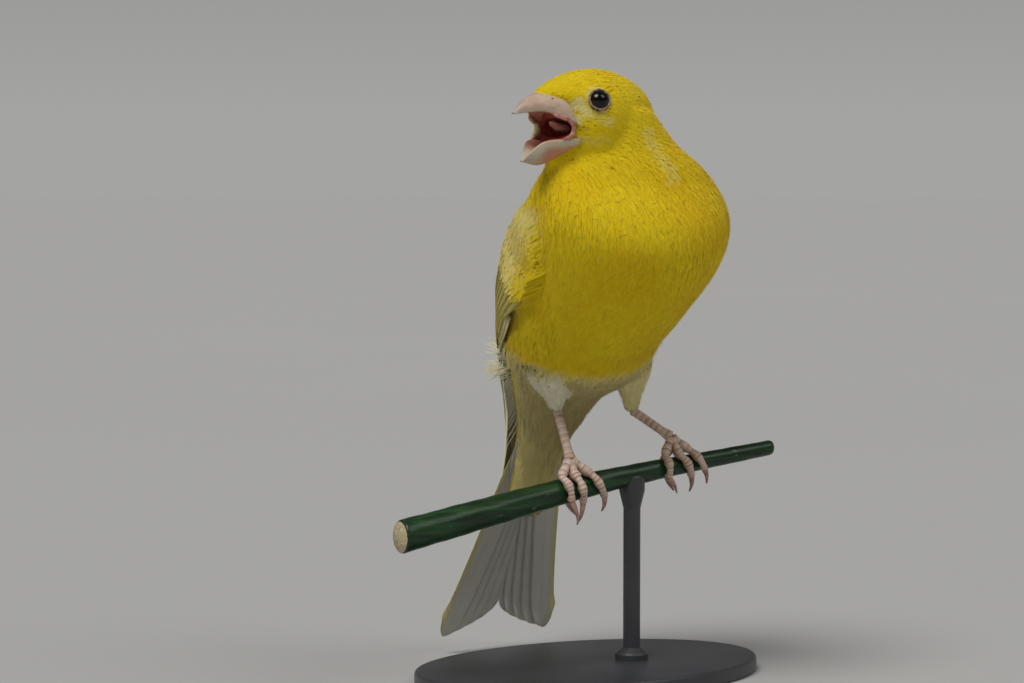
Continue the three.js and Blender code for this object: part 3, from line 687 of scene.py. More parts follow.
def on_leg(at):
    """How much a point belongs to a thigh, and the way down that thigh."""
    share, way = np.zeros(len(at)), np.zeros((len(at), 3))
    for leg in LEGS.values():
        hip, heel = np.array(leg["hip"], float), np.array(leg["heel"], float)
        down = heel - hip
        s = np.clip((at - hip) @ down / (down @ down), 0, 1)
        off = np.linalg.norm(at - hip - s[:, None] * down, axis=1)
        near = smooth(mix(5.2, 2.6, s) - off, -0.8, 0.3) * smooth(s, 0.02, 0.3)
        way[near > share] = unit(down)
        share = np.maximum(share, near)
    return share, way


def near_line(at, points, width):
    """How near places are to a line through the given points."""
    gap = np.full(len(at), 1e9)
    for spot in rail(points)(np.linspace(0, 1, 24)):
        gap = np.minimum(gap, ((at - spot) ** 2).sum(1))
    return 1 - smooth(np.sqrt(gap), 0.35 * width, width)


def on_left(local):
    """Places on the head, with those of its right side mirrored to its left."""
    return np.abs(local * [0, 1, 0]) + local * [1, 0, 1]


# Lines of paler and of darker feathers on the head, alike on both sides, with widths and strengths
PALE_LINES = [
    ([(11.1, 3.2, 2.6), (9, 4.4, 1.7), (7.3, 5.6, 2.8), (6.4, 6.4, 0.8)], 1.7, 0.75),
    ([(10.3, 3.7, 1.0), (8.6, 4.7, 0.0), (7.4, 5.6, -0.6)], 1.2, 1.0),
    ([(6.6, 6.4, 0.4), (5.2, 7.4, 0.4), (3.6, 8.6, -0.2), (2.2, 9.2, -0.8)], 1.9, 0.42),
    ([(7.6, 5.2, -4.2), (5, 7.2, -4.8), (3, 8.2, -4.6)], 1.7, 0.3),
]
DUSK_LINES = [
    ([(7.9, 5.3, -1.7), (7.3, 5.7, -1.9), (6.2, 6.6, -2.2)], 0.85, 1.0),
    ([(12.4, 2.6, 4.2), (9.6, 4.2, 2.4), (7.6, 5.4, 1.2)], 1.5, 0.5),
]
# On the body: the pale ruffle at the neck's side, a dusky spot below and the full tuft over a thigh
RUFFLE = [(0.2, -23.0, 113.2), (0.5, -23.1, 112), (2.2, -24.3, 108.4), (3.8, -25.9, 104.7)]
SPOT = list(trunk_point(np.array([0.585, 0.615]), -2.0))
TUFT = [(-16.7, -8.5, 75), (-16.6, -7.1, 73.7), (-16.3, 0.3, 71.2), (-15.5, 3.9, 68.9)]


def brightest(places, lines):
    """The strongest of several lines at each place."""
    return np.max([strength * near_line(places, line, width) for line, width, strength in lines], axis=0)


def pale_at(at):
    """Paler feathers at the vent, along the sides, round the eyes, on the thighs and along the lines."""
    t, angle = station(at)
    around = np.abs(angle)
    local = on_left(to_head(at))
    vent = 0.9 * smooth(t, 0.49, 0.54) * smooth(around, 1.15, 1.9)
    sides = smooth(around, 0.5, 0.9) * smooth(around, 1.9, 1.45) * smooth(t, 0.17, 0.23)
    sides = 0.6 * sides * smooth(t, 0.6, 0.42)
    eye = 0.45 * smooth(np.linalg.norm(local - eye_place(1, 0), axis=1), 3.9, 2.6)
    ruffle = 0.36 * near_line(at, RUFFLE, 3.2)
    pale = np.max([vent, sides, eye, ruffle, brightest(local, PALE_LINES)], axis=0)
    return np.clip(pale + 0.75 * on_leg(at)[0], 0, 1)


def white_and_shade_at(at):
    """White thighs, the left one less white as painted shade."""
    # The left thigh's white is cut from 0.85 to 0.35: painted shade.
    return mix(0.35, 0.85, at[:, 0] < 0) * on_leg(at)[0]


def buff_at(at):
    """Buff between the thighs and under the root of the tail."""
    t, angle = station(at)
    below = smooth(np.abs(angle), 1.3, 2.0)
    return smooth(t, 0.505, 0.545) * smooth(t, 0.95, 0.7) * below * (1 - 0.95 * on_leg(at)[0])


def dusk_at(at):
    """Dusky marks before the eyes and at the gape, and a spot on the body."""
    return np.maximum(0.45 * near_line(at, SPOT, 1.6), brightest(on_left(to_head(at)), DUSK_LINES))


def lie_at(at):
    """The way that the plumage lies: back from the bill, down the body and down the thighs."""
    from_bill = unit(to_head(at) - [14, 0, -1]) @ HEAD_WAYS
    on_head = smooth(at[:, 2], 102, 112)[:, None]
    leg, leg_way = on_leg(at)
    return unit(mix(mix(spine_way(station(at)[0]), from_bill, on_head), leg_way, leg[:, None]))


def eye_out(side):
    return unit(np.array(EYE_OUT) * np.array([1, side, 1]))


def eye_place(side, out):
    return np.array([EYE["x"], side * EYE["y"], EYE["z"]]) + eye_out(side) * out


def markings(at):
    return {"pale": pale_at(at), "white": white_and_shade_at(at), "buff": buff_at(at), "dusk": dusk_at(at)}


skin_places = points_of(skin.data)
for key, values in markings(skin_places).items():
    add_number(skin.data, key, values)
mouth = made("mouth", merged([mouth_cutter(), throat_cutter()]), [])
mouth_tree = tree_of(mouth)
bpy.data.objects.remove(mouth)
add_number(skin.data, "mouth", 1 - smooth(nearest(mouth_tree, skin_places)[2], 0.05, 0.6))
dressed(skin, "body_feathers", "head", "neck", "torso", "thigh_left", "thigh_right")


# The bill, the tongue and the eyes

def bill_half(shape):
    ridge, rim = rail(shape["ridge"]), rail(shape["rim"])

    def place(share, angle, reach):
        edge, height = rim(share), ridge(share) - rim(share)
        width = shape["half"] * np.maximum((1 - share) ** BILL_TAPER, BLUNT)
        rise = np.where(np.cos(angle) > 0, np.cos(angle), SCOOP * np.cos(angle) ** 2)
        at = edge + height * rise[:, None]
        at[:, 1] = np.sin(angle) * width
        core = edge + height * 0.55
        return in_head(mix(core, at, reach[:, None]))

    return loft(place, 56, 40)


def make_beak(name, node, shape, upwards):
    """One half of the bill; upwards is 1 for the upper half and -1 for the lower."""
    piece = made(name, bill_half(shape), [HORN])
    for side in (1, -1) if upwards > 0 else ():
        hole = np.array(NOSTRIL) * [1, side, 1]
        carved(piece, ball(lambda d: in_head(hole + d * np.array(NOSTRIL_SIZE)), 16, 10))
    local = to_head(points_of(piece.data))
    steps = np.linspace(0, 1, 80)
    rim = rail(shape["rim"])(steps)
    place = nearest_step(rim[:, [0, 2]], local[:, [0, 2]])
    share = steps[place]
    high = (local[:, 2] - rim[place][:, 2]) * upwards
    inwards = -np.array([v.normal.z for v in piece.data.vertices]) * upwards
    if upwards > 0:
        edge, low = 0.7 * smooth(high, 0.9, 0.1) + 0.3 * smooth(high, 3.4, 4.6), 0 * high
    else:
        edge, low = 0.9 * smooth(high, 1.7, 0.8), smooth(high, 1.2, 2.6)
    add_number(piece.data, "tip", 0.7 * smooth(share, 0.75, 1.0))
    add_number(piece.data, "inside", smooth(inwards, 0.15, 0.6) * (1 - smooth(share, 0.55, 0.95)))
    add_number(piece.data, "edge", edge)
    add_number(piece.data, "low", low)
    return dressed(piece, "bill_horn", node)


beaks = [make_beak("upper_beak", "upper_bill", UPPER_BILL, 1),
         make_beak("lower_beak", "lower_bill", LOWER_BILL, -1)]


def make_tongue():
    def radius(share, angle):
        flat = mix(0.55, 1.0, np.abs(np.sin(angle)))
        return 1.25 * flat * mix(1.0, 0.55, smooth(share, 0.3, 1.0))

    path = [in_head(p) for p in ((5, 0, -2.2), (7.6, 0, -1.9), (10, 0, -0.9))]
    form = limb(path, radius, one_way(0, 0, 1), around=20, along=24, cap=0.18)
    return dressed(made("singing_tongue", form, [TONGUE]), "mouth", "tongue")


def gape_band(side):
    """The soft band at a corner of the mouth, from one half of the bill to the other."""
    wide = 0.45 if side > 0 else 1.0

    def radius(share, angle):
        thick = mix(0.28, wide, np.abs(np.sin(angle)) ** 1.5)
        return thick * mix(1, 0.7 + 0.6 * wide, smooth(share, 0.4, 0.7))

    path = [in_head(np.array(p) * [1, side, 1]) for p in GAPE]
    facing = one_way(*np.array([0.3, side, 0]) @ HEAD_WAYS)
    return limb(path, radius, facing, around=20, along=60, cap=0.25)


def make_gape():
    piece = made("gape_bands", merged([gape_band(1), gape_band(-1)]), [gape_skin()])
    at = to_head(points_of(piece.data))
    line = rail(GAPE)(np.linspace(0, 1, 60))
    ahead = at[:, 0] - line[nearest_step(line, on_left(at))][:, 0]
    add_number(piece.data, "rim", 0.9 * smooth(ahead, -0.1, 0.45) * (at[:, 1] < 0))
    dressed(piece, "mouth")


make_tongue()
make_gape()


def make_eye(side, name):
    centre = eye_place(side, -EYE["sunk"])
    globe = made(name + "_globe", ball(lambda d: in_head(centre + d * EYE["radius"]), 40, 28), [EYE_GLOSS])
    local = to_head(points_of(globe.data)) - centre
    add_number(globe.data, "iris", smooth(unit(local) @ eye_out(side), 0.9, 0.82))
    dressed(globe, "eye", name)
    ring = bmesh.new()
    bmesh.ops.create_circle(ring, segments=12, radius=1)
    put(ring, lambda at: np.array([LID["radius"], 0, 0]) + at[:, [0, 2, 1]] * [LID["wide"], 0, LID["high"]])
    bmesh.ops.spin(ring, geom=ring.edges[:] + ring.verts[:], cent=(0, 0, 0), axis=(0, 0, 1),
                   angle=2 * math.pi, steps=56, use_merge=True)
    turn = np.array(Vector((0, 0, 1)).rotation_difference(Vector(eye_out(side))).to_matrix())
    put(ring, lambda at: in_head(eye_place(side, -0.08) + at @ turn.T))
    dressed(made(name + "_lid_ring", ring, [LID_SKIN]), "eye")


make_eye(1, "eye_left")
make_eye(-1, "eye_right")


# Plumage

# Rows along a vane, its width at each, and its columns: a small feather, a loose barb and a long feather
FEATHER = (np.array([0, 0.3, 0.6, 0.84, 1]), np.array([0.4, 0.9, 1, 0.8, 0.36]), np.linspace(-1, 1, 3))
BARB = (np.array([0, 0.35, 0.7, 1]), np.array([0.7, 1, 0.75, 0.1]), np.linspace(-1, 1, 2))
PLUME = (np.linspace(0, 1, 9), np.array([0.5, 0.8, 1, 1, 0.95, 0.85, 0.7, 0.45, 0.12]),
         np.linspace(-1, 1, 3))
# How many places are tried for small feathers and barbs, and how many long feathers and wisps grow
FEATHERS, BARBS, SIDE_PLUMES, BACK_PLUMES, FLANK_PLUMES, WISPS = 230000, 110000, 5200, 1800, 1500, 190
PLUMES_A_PIECE = 6000
# Lengths of the feathers by place, where the vent's is added to the belly's
LENGTHS = {"crown": 2.2, "face": 1.0, "breast": 2.8, "belly": 4.2, "vent": 3.0, "thigh": 3.0}
# Heights of the plumage, and what long feathers, the tufts over the thighs and the belly's end add
DEPTHS = {"body": 0.55, "face": 0.28, "long": 0.35, "tuft": 1.3, "skirt": 0.5}
ABOVE = 14.0  # a height over the trunk from which everything on it is below
HEAD_FROM = 107  # height from which the plumage belongs to the head
# The angle that parts the back from the front, and the stations at which belly and rump begin
FRONT_FROM, BELLY_FROM, RUMP_FROM = 1.35, 0.42, 0.5
SLOTS = {"head": "head_feathers", "thigh": "thigh_feathers"}
PATCH = 0.003  # side of a small vane's own patch on the unwrap
# How near the middle of an eye, the mouth and the bill no feather grows
BARE_EYE, BARE_MOUTH, BARE_BILL = 2.38, 0.55, 0.12
# The middle of the right thigh, whose white the down and the flanks share
DOWN_PLACE = (np.array(LEGS["right"]["hip"]) + np.array(LEGS["right"]["heel"])) / 2


def vane_pattern(rows, columns):
    """Faces of one vane, as a grid across and along."""
    bm = bmesh.new()
    bmesh.ops.create_grid(bm, x_segments=columns - 1, y_segments=rows - 1, size=1)
    bm.verts.ensure_lookup_table()
    order = sorted(range(len(bm.verts)), key=lambda i: (round(bm.verts[i].co.y, 5), bm.verts[i].co.x))
    rank = {old: new for new, old in enumerate(order)}
    faces = np.array([[rank[v.index] for v in f.verts] for f in bm.faces])
    bm.free()
    return faces


def joined_vanes(name, places, pattern, flat, patch, material, numbers, round_normals=None):
    """Many vanes in one mesh: places is (vanes, points, 3), flat each point's place on its own vane."""
    count, points = places.shape[:2]
    flat = np.broadcast_to(flat, (count, *flat.shape))
    mesh = bpy.data.meshes.new(name)
    mesh.vertices.add(count * points)
    mesh.vertices.foreach_set("co", (places * MM).astype(np.float32).ravel())
    faces = (pattern[None] + (np.arange(count) * points)[:, None, None]).reshape(-1, 4)
    mesh.loops.add(faces.size)
    mesh.loops.foreach_set("vertex_index", faces.ravel().astype(np.int32))
    mesh.polygons.add(len(faces))
    mesh.polygons.foreach_set("loop_start", (np.arange(len(faces)) * 4).astype(np.int32))
    mesh.polygons.foreach_set("use_smooth", np.ones(len(faces), bool))
    for uv_name, spots in (("OFBake", patch), ("vane", flat)):
        if spots is not None:
            layer = mesh.uv_layers.new(name=uv_name)
            layer.data.foreach_set("uv", spots.reshape(-1, 2)[faces.ravel()].astype(np.float32).ravel())
    mesh.update(calc_edges=True)
    mesh.validate()
    for key, values in numbers.items():
        add_number(mesh, key, np.repeat(values, points) if values.ndim == 1 else values.ravel())
    mesh.materials.append(material)
    if round_normals is not None:
        own = np.empty(len(mesh.vertices) * 3, np.float32)
        mesh.vertices.foreach_get("normal", own)
        blend = unit(own.reshape(-1, 3) * 0.08 + round_normals.reshape(-1, 3) * 0.92)
        mesh.normals_split_custom_set_from_vertices(blend.tolist())
    piece = bpy.data.objects.new(name, mesh)
    bpy.context.scene.collection.objects.link(piece)
    return piece


def scattered(count, spacing):
    """Seeded places on the skin that keep the given distance from each other."""
    mesh = skin.data
    mesh.calc_loop_triangles()
    corners = np.empty(len(mesh.loop_triangles) * 3, np.int32)
    mesh.loop_triangles.foreach_get("vertices", corners)
    at = points_of(mesh)[corners.reshape(-1, 3)]
    area = np.linalg.norm(np.cross(at[:, 1] - at[:, 0], at[:, 2] - at[:, 0]), axis=1)
    pick = chance.choice(len(at), count, p=area / area.sum())
    a, b = chance.random((2, count))
    flip = a + b > 1
    a[flip], b[flip] = 1 - a[flip], 1 - b[flip]
    tri = at[pick]
    spots = tri[:, 0] + a[:, None] * (tri[:, 1] - tri[:, 0]) + b[:, None] * (tri[:, 2] - tri[:, 0])
    gap = spacing(spots)
    cells = (spots // gap.max()).astype(int).tolist()
    gap, spots_list = gap.tolist(), spots.tolist()
    taken, kept = {}, []
    for i, (x, y, z) in enumerate(spots_list):
        near, least = product(*[(c - 1, c, c + 1) for c in cells[i]]), gap[i] ** 2
        if all((x - p) ** 2 + (y - q) ** 2 + (z - r) ** 2 >= least
               for cell in near for p, q, r in taken.get(cell, ())):
            taken.setdefault(tuple(cells[i]), []).append((x, y, z))
            kept.append(i)
    return spots[kept]


def feather_length(at):
    """Length of the feathers, smallest round the bill and the eyes, longest below the tail's root."""
    t, angle = station(at)
    face = mix(LENGTHS["crown"], LENGTHS["face"], smooth(to_head(at)[:, 0], 0, 8))
    below = smooth(np.abs(angle), 1.3, 2.3)
    body = mix(LENGTHS["breast"], LENGTHS["belly"], smooth(t, 0.2, 0.45))
    body = body + LENGTHS["vent"] * smooth(t, 0.62, 0.8) * below
    return mix(mix(body, face, smooth(at[:, 2], 103, 110)), LENGTHS["thigh"], on_leg(at)[0])


def is_inside(tree, point):
    """Whether a point is inside a closed surface, by how often a line out of it meets the surface."""
    spot, way, crossings = Vector(point), Vector((0.31, 0.17, 0.93)).normalized(), 0
    while True:
        hit = tree.ray_cast(spot, way)
        if hit[0] is None:
            return crossings % 2 == 1
        spot, crossings = hit[0] + way * 1e-4, crossings + 1


def bare(at):
    """Places without feathers: the eyes and their rings, the mouth and the bill."""
    local = to_head(at)
    off = np.zeros(len(at), bool)
    for side in (1, -1):
        off |= np.linalg.norm(local - eye_place(side, 0), axis=1) < BARE_EYE
    off |= nearest(mouth_tree, at)[2] < BARE_MOUTH
    for piece in beaks:
        tree = tree_of(piece)
        gap = nearest(tree, at)[2]
        off |= gap < BARE_BILL
        for i in np.flatnonzero((gap < 4) & ~off):
            off[i] = is_inside(tree, at[i])
    return off


def unwrapped(at):
    """A place on a flat unwrap of the skin: round the trunk and along it, with the thighs beside."""
    t, angle = station(at)
    local = to_head(at)
    turn = np.arctan2(local[:, 1], local[:, 2]) / (2 * np.pi) + 0.5
    head = at[:, 2] > HEAD_FROM
    leg = on_leg(at)[0] > 0.5
    u = np.where(head, 0.01 + 0.46 * turn, 0.51 + 0.47 * (angle / (2 * np.pi) + 0.5))
    v = np.where(head, 0.02 + 0.45 * (local[:, 0] + 18) / 36, 0.01 + 0.97 * t)
    on_thigh = np.stack([0.05 + 0.4 * smooth(at[:, 0], -15, 20), 0.52 + 0.45 * (at[:, 2] - 50) / 25], 1)
    return np.where(leg[:, None], on_thigh, np.stack([u, v], 1))


def along_skin(roots, length, steps, spread):
    """Rows of places from the roots along the lie: where each is, the way out and the way on."""
    spot, facing, _ = nearest(skin_tree, roots)
    way = lie_at(spot)
    way = unit(way + np.cross(way, facing) * chance.normal(0, spread, len(roots))[:, None])
    rows, last = [], 0.0
    for step in steps:
        if step > 0:
            spot, facing, _ = nearest(skin_tree, spot + way * ((step - last) * length)[:, None])
        way = unit(way - facing * (way * facing).sum(1, keepdims=True))
        rows.append((spot, facing, way))
        last = step
    return rows


def vanes(rows, length, width, rise, pattern, ragged=0.2):
    """Vanes over rows of places: each rises from its root to its full height and tucks in its edges."""
    steps, widths, columns = pattern
    places = np.empty((len(length), len(steps), len(columns), 3))
    rounded = np.empty_like(places)
    wobble = chance.random((len(length), len(columns))) * ragged
    for i, (spot, facing, way) in enumerate(rows):
        side = np.cross(way, facing)
        height = 0.03 + rise * smooth(steps[i], 0, 0.5) - 0.06 * steps[i] ** 2
        for j, column in enumerate(columns):
            back = wobble[:, j] + 0.12 * column**2 if steps[i] == 1 and len(columns) > 2 else 0
            at = spot + side * (column * widths[i] * width)[:, None]
            at = at + facing * (height - 0.25 * width * column**2)[:, None]
            places[:, i, j] = at - way * (back * length)[:, None]
            rounded[:, i, j] = facing
    return places.reshape(len(length), -1, 3), rounded.reshape(len(length), -1, 3)


def flat_places(rows, columns):
    """Where the points of a vane lie on it, 0..1 across and along."""
    across, along = np.meshgrid((columns + 1) / 2, rows)
    return np.stack([across.ravel(), along.ravel()], 1)


def coat_pieces(name, roots, marked, places, rounded, pattern, most, zones):
    """Joins vanes into pieces, one zone of the body at a time, with the markings of the given places."""
    row_steps, _, columns = pattern
    faces = vane_pattern(len(row_steps), len(columns))
    flat = flat_places(row_steps, columns)
    home = unwrapped(roots)
    numbers = {**markings(marked), "tone": chance.random(len(roots))}
    for zone, inside in zones.items():
        which = np.flatnonzero(inside)
        parts = max(1, math.ceil(len(which) / most))
        for part, chosen in enumerate(np.array_split(which, parts)):
            if not len(chosen):
                continue
            patch = home[chosen][:, None] + (flat - 0.5)[None] * PATCH
            piece = joined_vanes(
                f"{zone}_{name}" + (f"_{part + 1}" if parts > 1 else ""), places[chosen], faces, flat, patch,
                BODY_PLUMAGE, {key: value[chosen] for key, value in numbers.items()}, rounded[chosen])
            dressed(piece, SLOTS.get(zone, "body_feathers"))


def zones_at(roots):
    """Which feathers belong to which part of the body."""
    t, angle = station(roots)
    head = roots[:, 2] > HEAD_FROM
    leg = ~head & (on_leg(roots)[0] > 0.3)
    front = np.abs(angle) > FRONT_FROM
    rest = ~head & ~leg
    return {
        "head": head,
        "thigh": leg,
        "breast": rest & front & (t < BELLY_FROM),
        "belly": rest & front & (t >= BELLY_FROM),
        "back": rest & ~front & (t < RUMP_FROM),
        "rump": rest & ~front & (t >= RUMP_FROM),
    }


def coat_depth(roots, length):
    """Height of the plumage, shallow on the face, fuller at the flanks and where the belly ends."""
    t, angle = station(roots)
    on_face = smooth(to_head(roots)[:, 0], -2, 7) * smooth(roots[:, 2], 104, 110)
    tuft = near_line(roots * [0, 1, 1] - np.abs(roots * [1, 0, 0]), TUFT, 4.5)
    skirt = smooth(t, 0.42, 0.48) * smooth(t, 0.55, 0.5) * smooth(np.abs(angle), 1.9, 2.3)
    depth = mix(DEPTHS["body"], DEPTHS["face"], on_face) + DEPTHS["long"] * smooth(length, 4.6, 8)
    return depth + DEPTHS["tuft"] * tuft + DEPTHS["skirt"] * skirt


def grow_coat(name, roots, pattern, spread, most, lengths, wide, full):
    """Vanes that lie along the skin and stray from it by spread, at the most so many in a piece.

    lengths is the least share of their length and its range, wide(length) gives their widths, and full
    is the least share of the coat's height that they reach, its range and what is added.
    """
    roots = roots[~bare(roots)]
    length = feather_length(roots) * (lengths[0] + lengths[1] * chance.random(len(roots)))
    rise = coat_depth(roots, length) * (full[0] + full[1] * chance.random(len(roots))) + full[2]
    rows = along_skin(roots, length, pattern[0], spread)
    places, rounded = vanes(rows, length, wide(length), rise, pattern)
    coat_pieces(name, roots, rows[2][0], places, rounded, pattern, most, zones_at(roots))


def grow_plumage():
    grow_coat("coat", scattered(FEATHERS, lambda at: 0.14 * feather_length(at)), FEATHER, spread=0.1,
              most=12000, lengths=(0.85, 0.3), full=(0.6, 0.4, 0),
              wide=lambda length: length * mix(0.14, 0.15, smooth(length, 1.5, 4)))
    grow_coat("barbs", scattered(BARBS, lambda at: 0.36 + 0.05 * feather_length(at)), BARB, spread=0.16,
              most=30000, lengths=(0.6, 0.4), full=(1.0, 0.35, 0.08),
              wide=lambda length: 0.045 + 0.01 * length)


def draped(tree, place):
    """How high a surface stands over the trunk's own form at places given as a function of their height."""
    above, on = place(ABOVE), place(0.0)
    hits = [tree.ray_cast(Vector(start), Vector(way)) for start, way in zip(above, unit(on - above))]
    return np.array([0.0 if hit[0] is None else ABOVE - hit[3] for hit in hits])


def grow_plumes(zone, tree, side, t, angle, run, turn, marked=None):
    """Long soft feathers from places on the trunk, draped over the wings as far as they run and turn."""
    count, steps = len(t), PLUME[0]

    def place(share, rise):
        return trunk_point(t + run * share, side * (angle + turn * share**0.85), rise)

    heights = [draped(tree, lambda rise: place(share, np.full(count, rise))) for share in steps]
    length = np.linalg.norm(place(1, 0.0) - place(0, 0.0), axis=1)
    heights = [np.max(heights[max(i - 1, 0):i + 2], axis=0) for i in range(len(heights))]
    slope = 0.5 * length * steps[1]
    for i in range(1, len(heights)):
        heights[i] = np.maximum(heights[i], heights[i - 1] - slope)
    for i in range(len(heights) - 2, -1, -1):
        heights[i] = np.maximum(heights[i], heights[i + 1] - slope)
    rows = []
    lift = 0.08 + 0.22 * chance.random(count)
    for share, height in zip(steps, heights):
        height = height - 0.8 * smooth(share, 0.45, 0) + lift * smooth(share, 0, 0.7)
        at = place(share, height)
        rows.append((at, unit(place(share, height + 0.1) - at), unit(place(share + 0.02, height) - at)))
    width = 0.22 + 0.12 * chance.random(count)
    places, rounded = vanes(rows, length, width, 0, PLUME, ragged=0.05)
    marked = rows[5][0] if marked is None else np.broadcast_to(marked, (count, 3))
    coat_pieces("plumes", rows[0][0], marked, places, rounded, PLUME, PLUMES_A_PIECE, {zone: side != 0})


def sides_of(count, every=2):
    """The left or right side for each, where one in every few is on the left."""
    return np.where(np.arange(count) % every == 0, 1, -1)


def grow_side_feathers(tree):
    """Feathers from the breast's sides and the shoulders, which lie over the folded wings."""
    from_breast = chance.random(SIDE_PLUMES) < 0.5
    a, b, c, d = chance.random((4, SIDE_PLUMES))
    t = np.where(from_breast, mix(0.18, 0.35, a), mix(0.165, 0.345, a))
    inner, outer, _ = wing_edges(t).T
    on_wing = mix(np.maximum(inner + 0.05, 0.35), np.where(t < 0.23, 1.8, outer), b)
    angle = np.where(from_breast, outer + mix(-0.3, 0.5, b**1.4), on_wing)
    run = np.where(from_breast, 0.055 + 0.035 * c, 0.065 + 0.03 * c)
    turn = np.where(from_breast, -0.2 - 0.14 * d, mix(-0.1, 0.04, d))
    grow_plumes("side", tree, sides_of(SIDE_PLUMES), t, angle, run, turn)


def grow_back_feathers(tree):
    """Feathers of the back over the roots of the wings' inner feathers."""
    a, b, c, d = chance.random((4, BACK_PLUMES))
    t = mix(0.3, 0.46, a)
    angle = wing_edges(t)[:, 0] + mix(-0.2, 0.3, b)
    grow_plumes("back", tree, sides_of(BACK_PLUMES), t, angle, 0.08 + 0.03 * c, mix(-0.03, 0.05, d),
                trunk_point(np.array([0.4]), 0.1))


def grow_flank_feathers(tree):
    """White feathers of the flanks, which hang beside the tips of the folded wings."""
    a, b, c, d = chance.random((4, FLANK_PLUMES))
    grow_plumes("flank", tree, sides_of(FLANK_PLUMES), mix(0.53, 0.62, a), mix(1.05, 1.5, b),
                0.13 + 0.19 * c**0.5, mix(-0.3, -0.1, d), DOWN_PLACE)


def grow_down():
    """Loose white down that stands out beside the tips of the folded wings."""
    side = sides_of(WISPS, 4)
    a, b, c, _ = chance.random((4, WISPS))
    low = np.arange(WISPS) % 3 > 0
    root = trunk_point(np.where(low, 0.605, 0.57) + 0.02 * a, side * mix(1.15, 1.5, b), 0)
    out = np.stack([side * mix(0.7, 1.0, c), np.full(WISPS, 0.45), np.where(low, -0.15, 0.4)], 1)
    out = unit(out + chance.normal(0, 0.16, (WISPS, 3)))
    length = mix(2.2, 6.0, chance.random(WISPS) ** 1.5)
    fall = np.array([0, 0, -1.0]) + chance.normal(0, 0.7, (WISPS, 3))
    rows = []
    for share in PLUME[0]:
        at = root + out * (length * share)[:, None] + fall * (0.14 * length * share**2)[:, None]
        way = unit(out + fall * 0.28 * share)
        facing = np.cross(way, np.cross(np.array([0, -1.0, 0.3]), way))
        rows.append((at, unit(facing), way))
    width = 0.06 + 0.07 * chance.random(WISPS)
    places, rounded = vanes(rows, length, width, 0, PLUME, ragged=0.05)
    marked = np.broadcast_to(DOWN_PLACE, (WISPS, 3))
    coat_pieces("down", root, marked, places, rounded, PLUME, PLUMES_A_PIECE, {"flank": side != 0})


grow_plumage()
grow_down()


# Wings and tail

VANE_ROWS, VANE_COLUMNS = 16, 9
PRIMARIES, SECONDARIES, ROW, EDGE_COVERTS = 9, 9, 12, 4  # feathers of a wing; a row of coverts has so many
# Rows of wing coverts: from and to where along the wing, where across it, half width, lift and rounding
COVERTS = [(0.25, 0.47, 0.8, 2.5, 1.45, 0.4), (0.17, 0.36, 0.86, 2.2, 1.65, 0.45)]
# Rows of coverts above and below the tail: how many, how long, how high and how that changes sideways
TAIL_COVERTS = [(7, 22, 0.55, -0.03), (6, 17, 0.8, -0.03), (7, 29, -1.75, 0.03), (6, 23, -2, 0.03)]


def blade(share, rounding):
    """How broad a long feather is along its length, with a rounded tip."""
    tip = np.maximum(0, share - 1 + rounding) / rounding
    return mix(0.5, 1, smooth(share, 0, 0.35)) * np.sqrt(np.maximum(1 - tip**2, 0.015))


def long_vanes(name, shapes, material):
    """Flight feathers from functions of share and edge and how yellow they are, joined, with thickness."""
    row_steps = 1 - (1 - np.linspace(0, 1, VANE_ROWS)) ** 1.4
    flat = flat_places(row_steps, np.linspace(-1, 1, VANE_COLUMNS))
    edge, share = flat[:, 0] * 2 - 1, flat[:, 1]
    places = np.stack([shape(share, edge) for shape, _ in shapes])
    yellows = np.array([yellow for _, yellow in shapes], float)
    numbers = {"tone": chance.random(len(shapes)), "yellow": yellows}
    piece = joined_vanes(name, places, vane_pattern(VANE_ROWS, VANE_COLUMNS), flat, None, material, numbers)
    modifier(piece, "SOLIDIFY", thickness=0.1 * MM, offset=0)
    return piece


def wing_feather(side, root, tip, begin, end, half, lift, rounding, yellow=0.0):
    """A feather from root to tip along the wing and from begin to end across it."""
    def shape(share, edge):
        off = edge * half * blade(share, rounding)
        ridge = 0.05 * (1 - np.abs(edge)) ** 3
        height = lift + off * WING_SLOPE + 0.2 + ridge
        return wing_point(side, mix(root, tip, share), mix(begin, end, share), off, height)

    return shape, yellow


def make_wing(side, name):
    """Primaries, secondaries with the inner feathers, the rows of coverts and those at the wing's edge."""
    shapes = []
    for i in range(PRIMARIES):
        shapes.append(wing_feather(side, 0.5, 1 - 0.0058 * (i - 1) ** 2, 0.94 - 0.03 * i, 0.86 - 0.09 * i,
                                   half=2.9, lift=WING_LIFT, rounding=0.3))
    for i in range(SECONDARIES):
        tip, half = (0.71 - 0.012 * i, 3.5) if i < 6 else (0.65 - 0.075 * (i - 5), 4.2)
        shapes.append(wing_feather(side, 0.3, tip, 0.74 - 0.065 * i, 0.66 - 0.065 * i, half,
                                   lift=WING_LIFT + 0.3, rounding=0.25, yellow=0.9))
    for root, reach, begin, half, lift, rounding in COVERTS:
        for i in range(ROW):
            tip = reach - 0.05 * abs(i / ROW - 0.4) + 0.008 * (i % 2)
            across = begin - 0.06 * i
            shapes.append(wing_feather(side, root, tip, across, across + 0.03, half, lift, rounding, 1.0))
    for i in range(EDGE_COVERTS):
        across = 0.97 - 0.05 * i
        shapes.append(wing_feather(side, 0.3, 0.5 - 0.02 * i, across, across + 0.02, half=1.7, lift=1.4,
                                   rounding=0.4, yellow=0.6))
    return dressed(long_vanes(f"{name}_feathers", shapes, WING_VANE), "wing_feathers", name)


wings = [make_wing(1, "wing_left"), make_wing(-1, "wing_right")]
around_wings = tree_of(skin, *wings)
grow_side_feathers(around_wings)
grow_back_feathers(around_wings)
grow_flank_feathers(around_wings)


def fan(along):
    """Half the width of the fanned tail at a place along it."""
    return 6.3 + 9 * (along / TAIL["length"]) ** 1.7


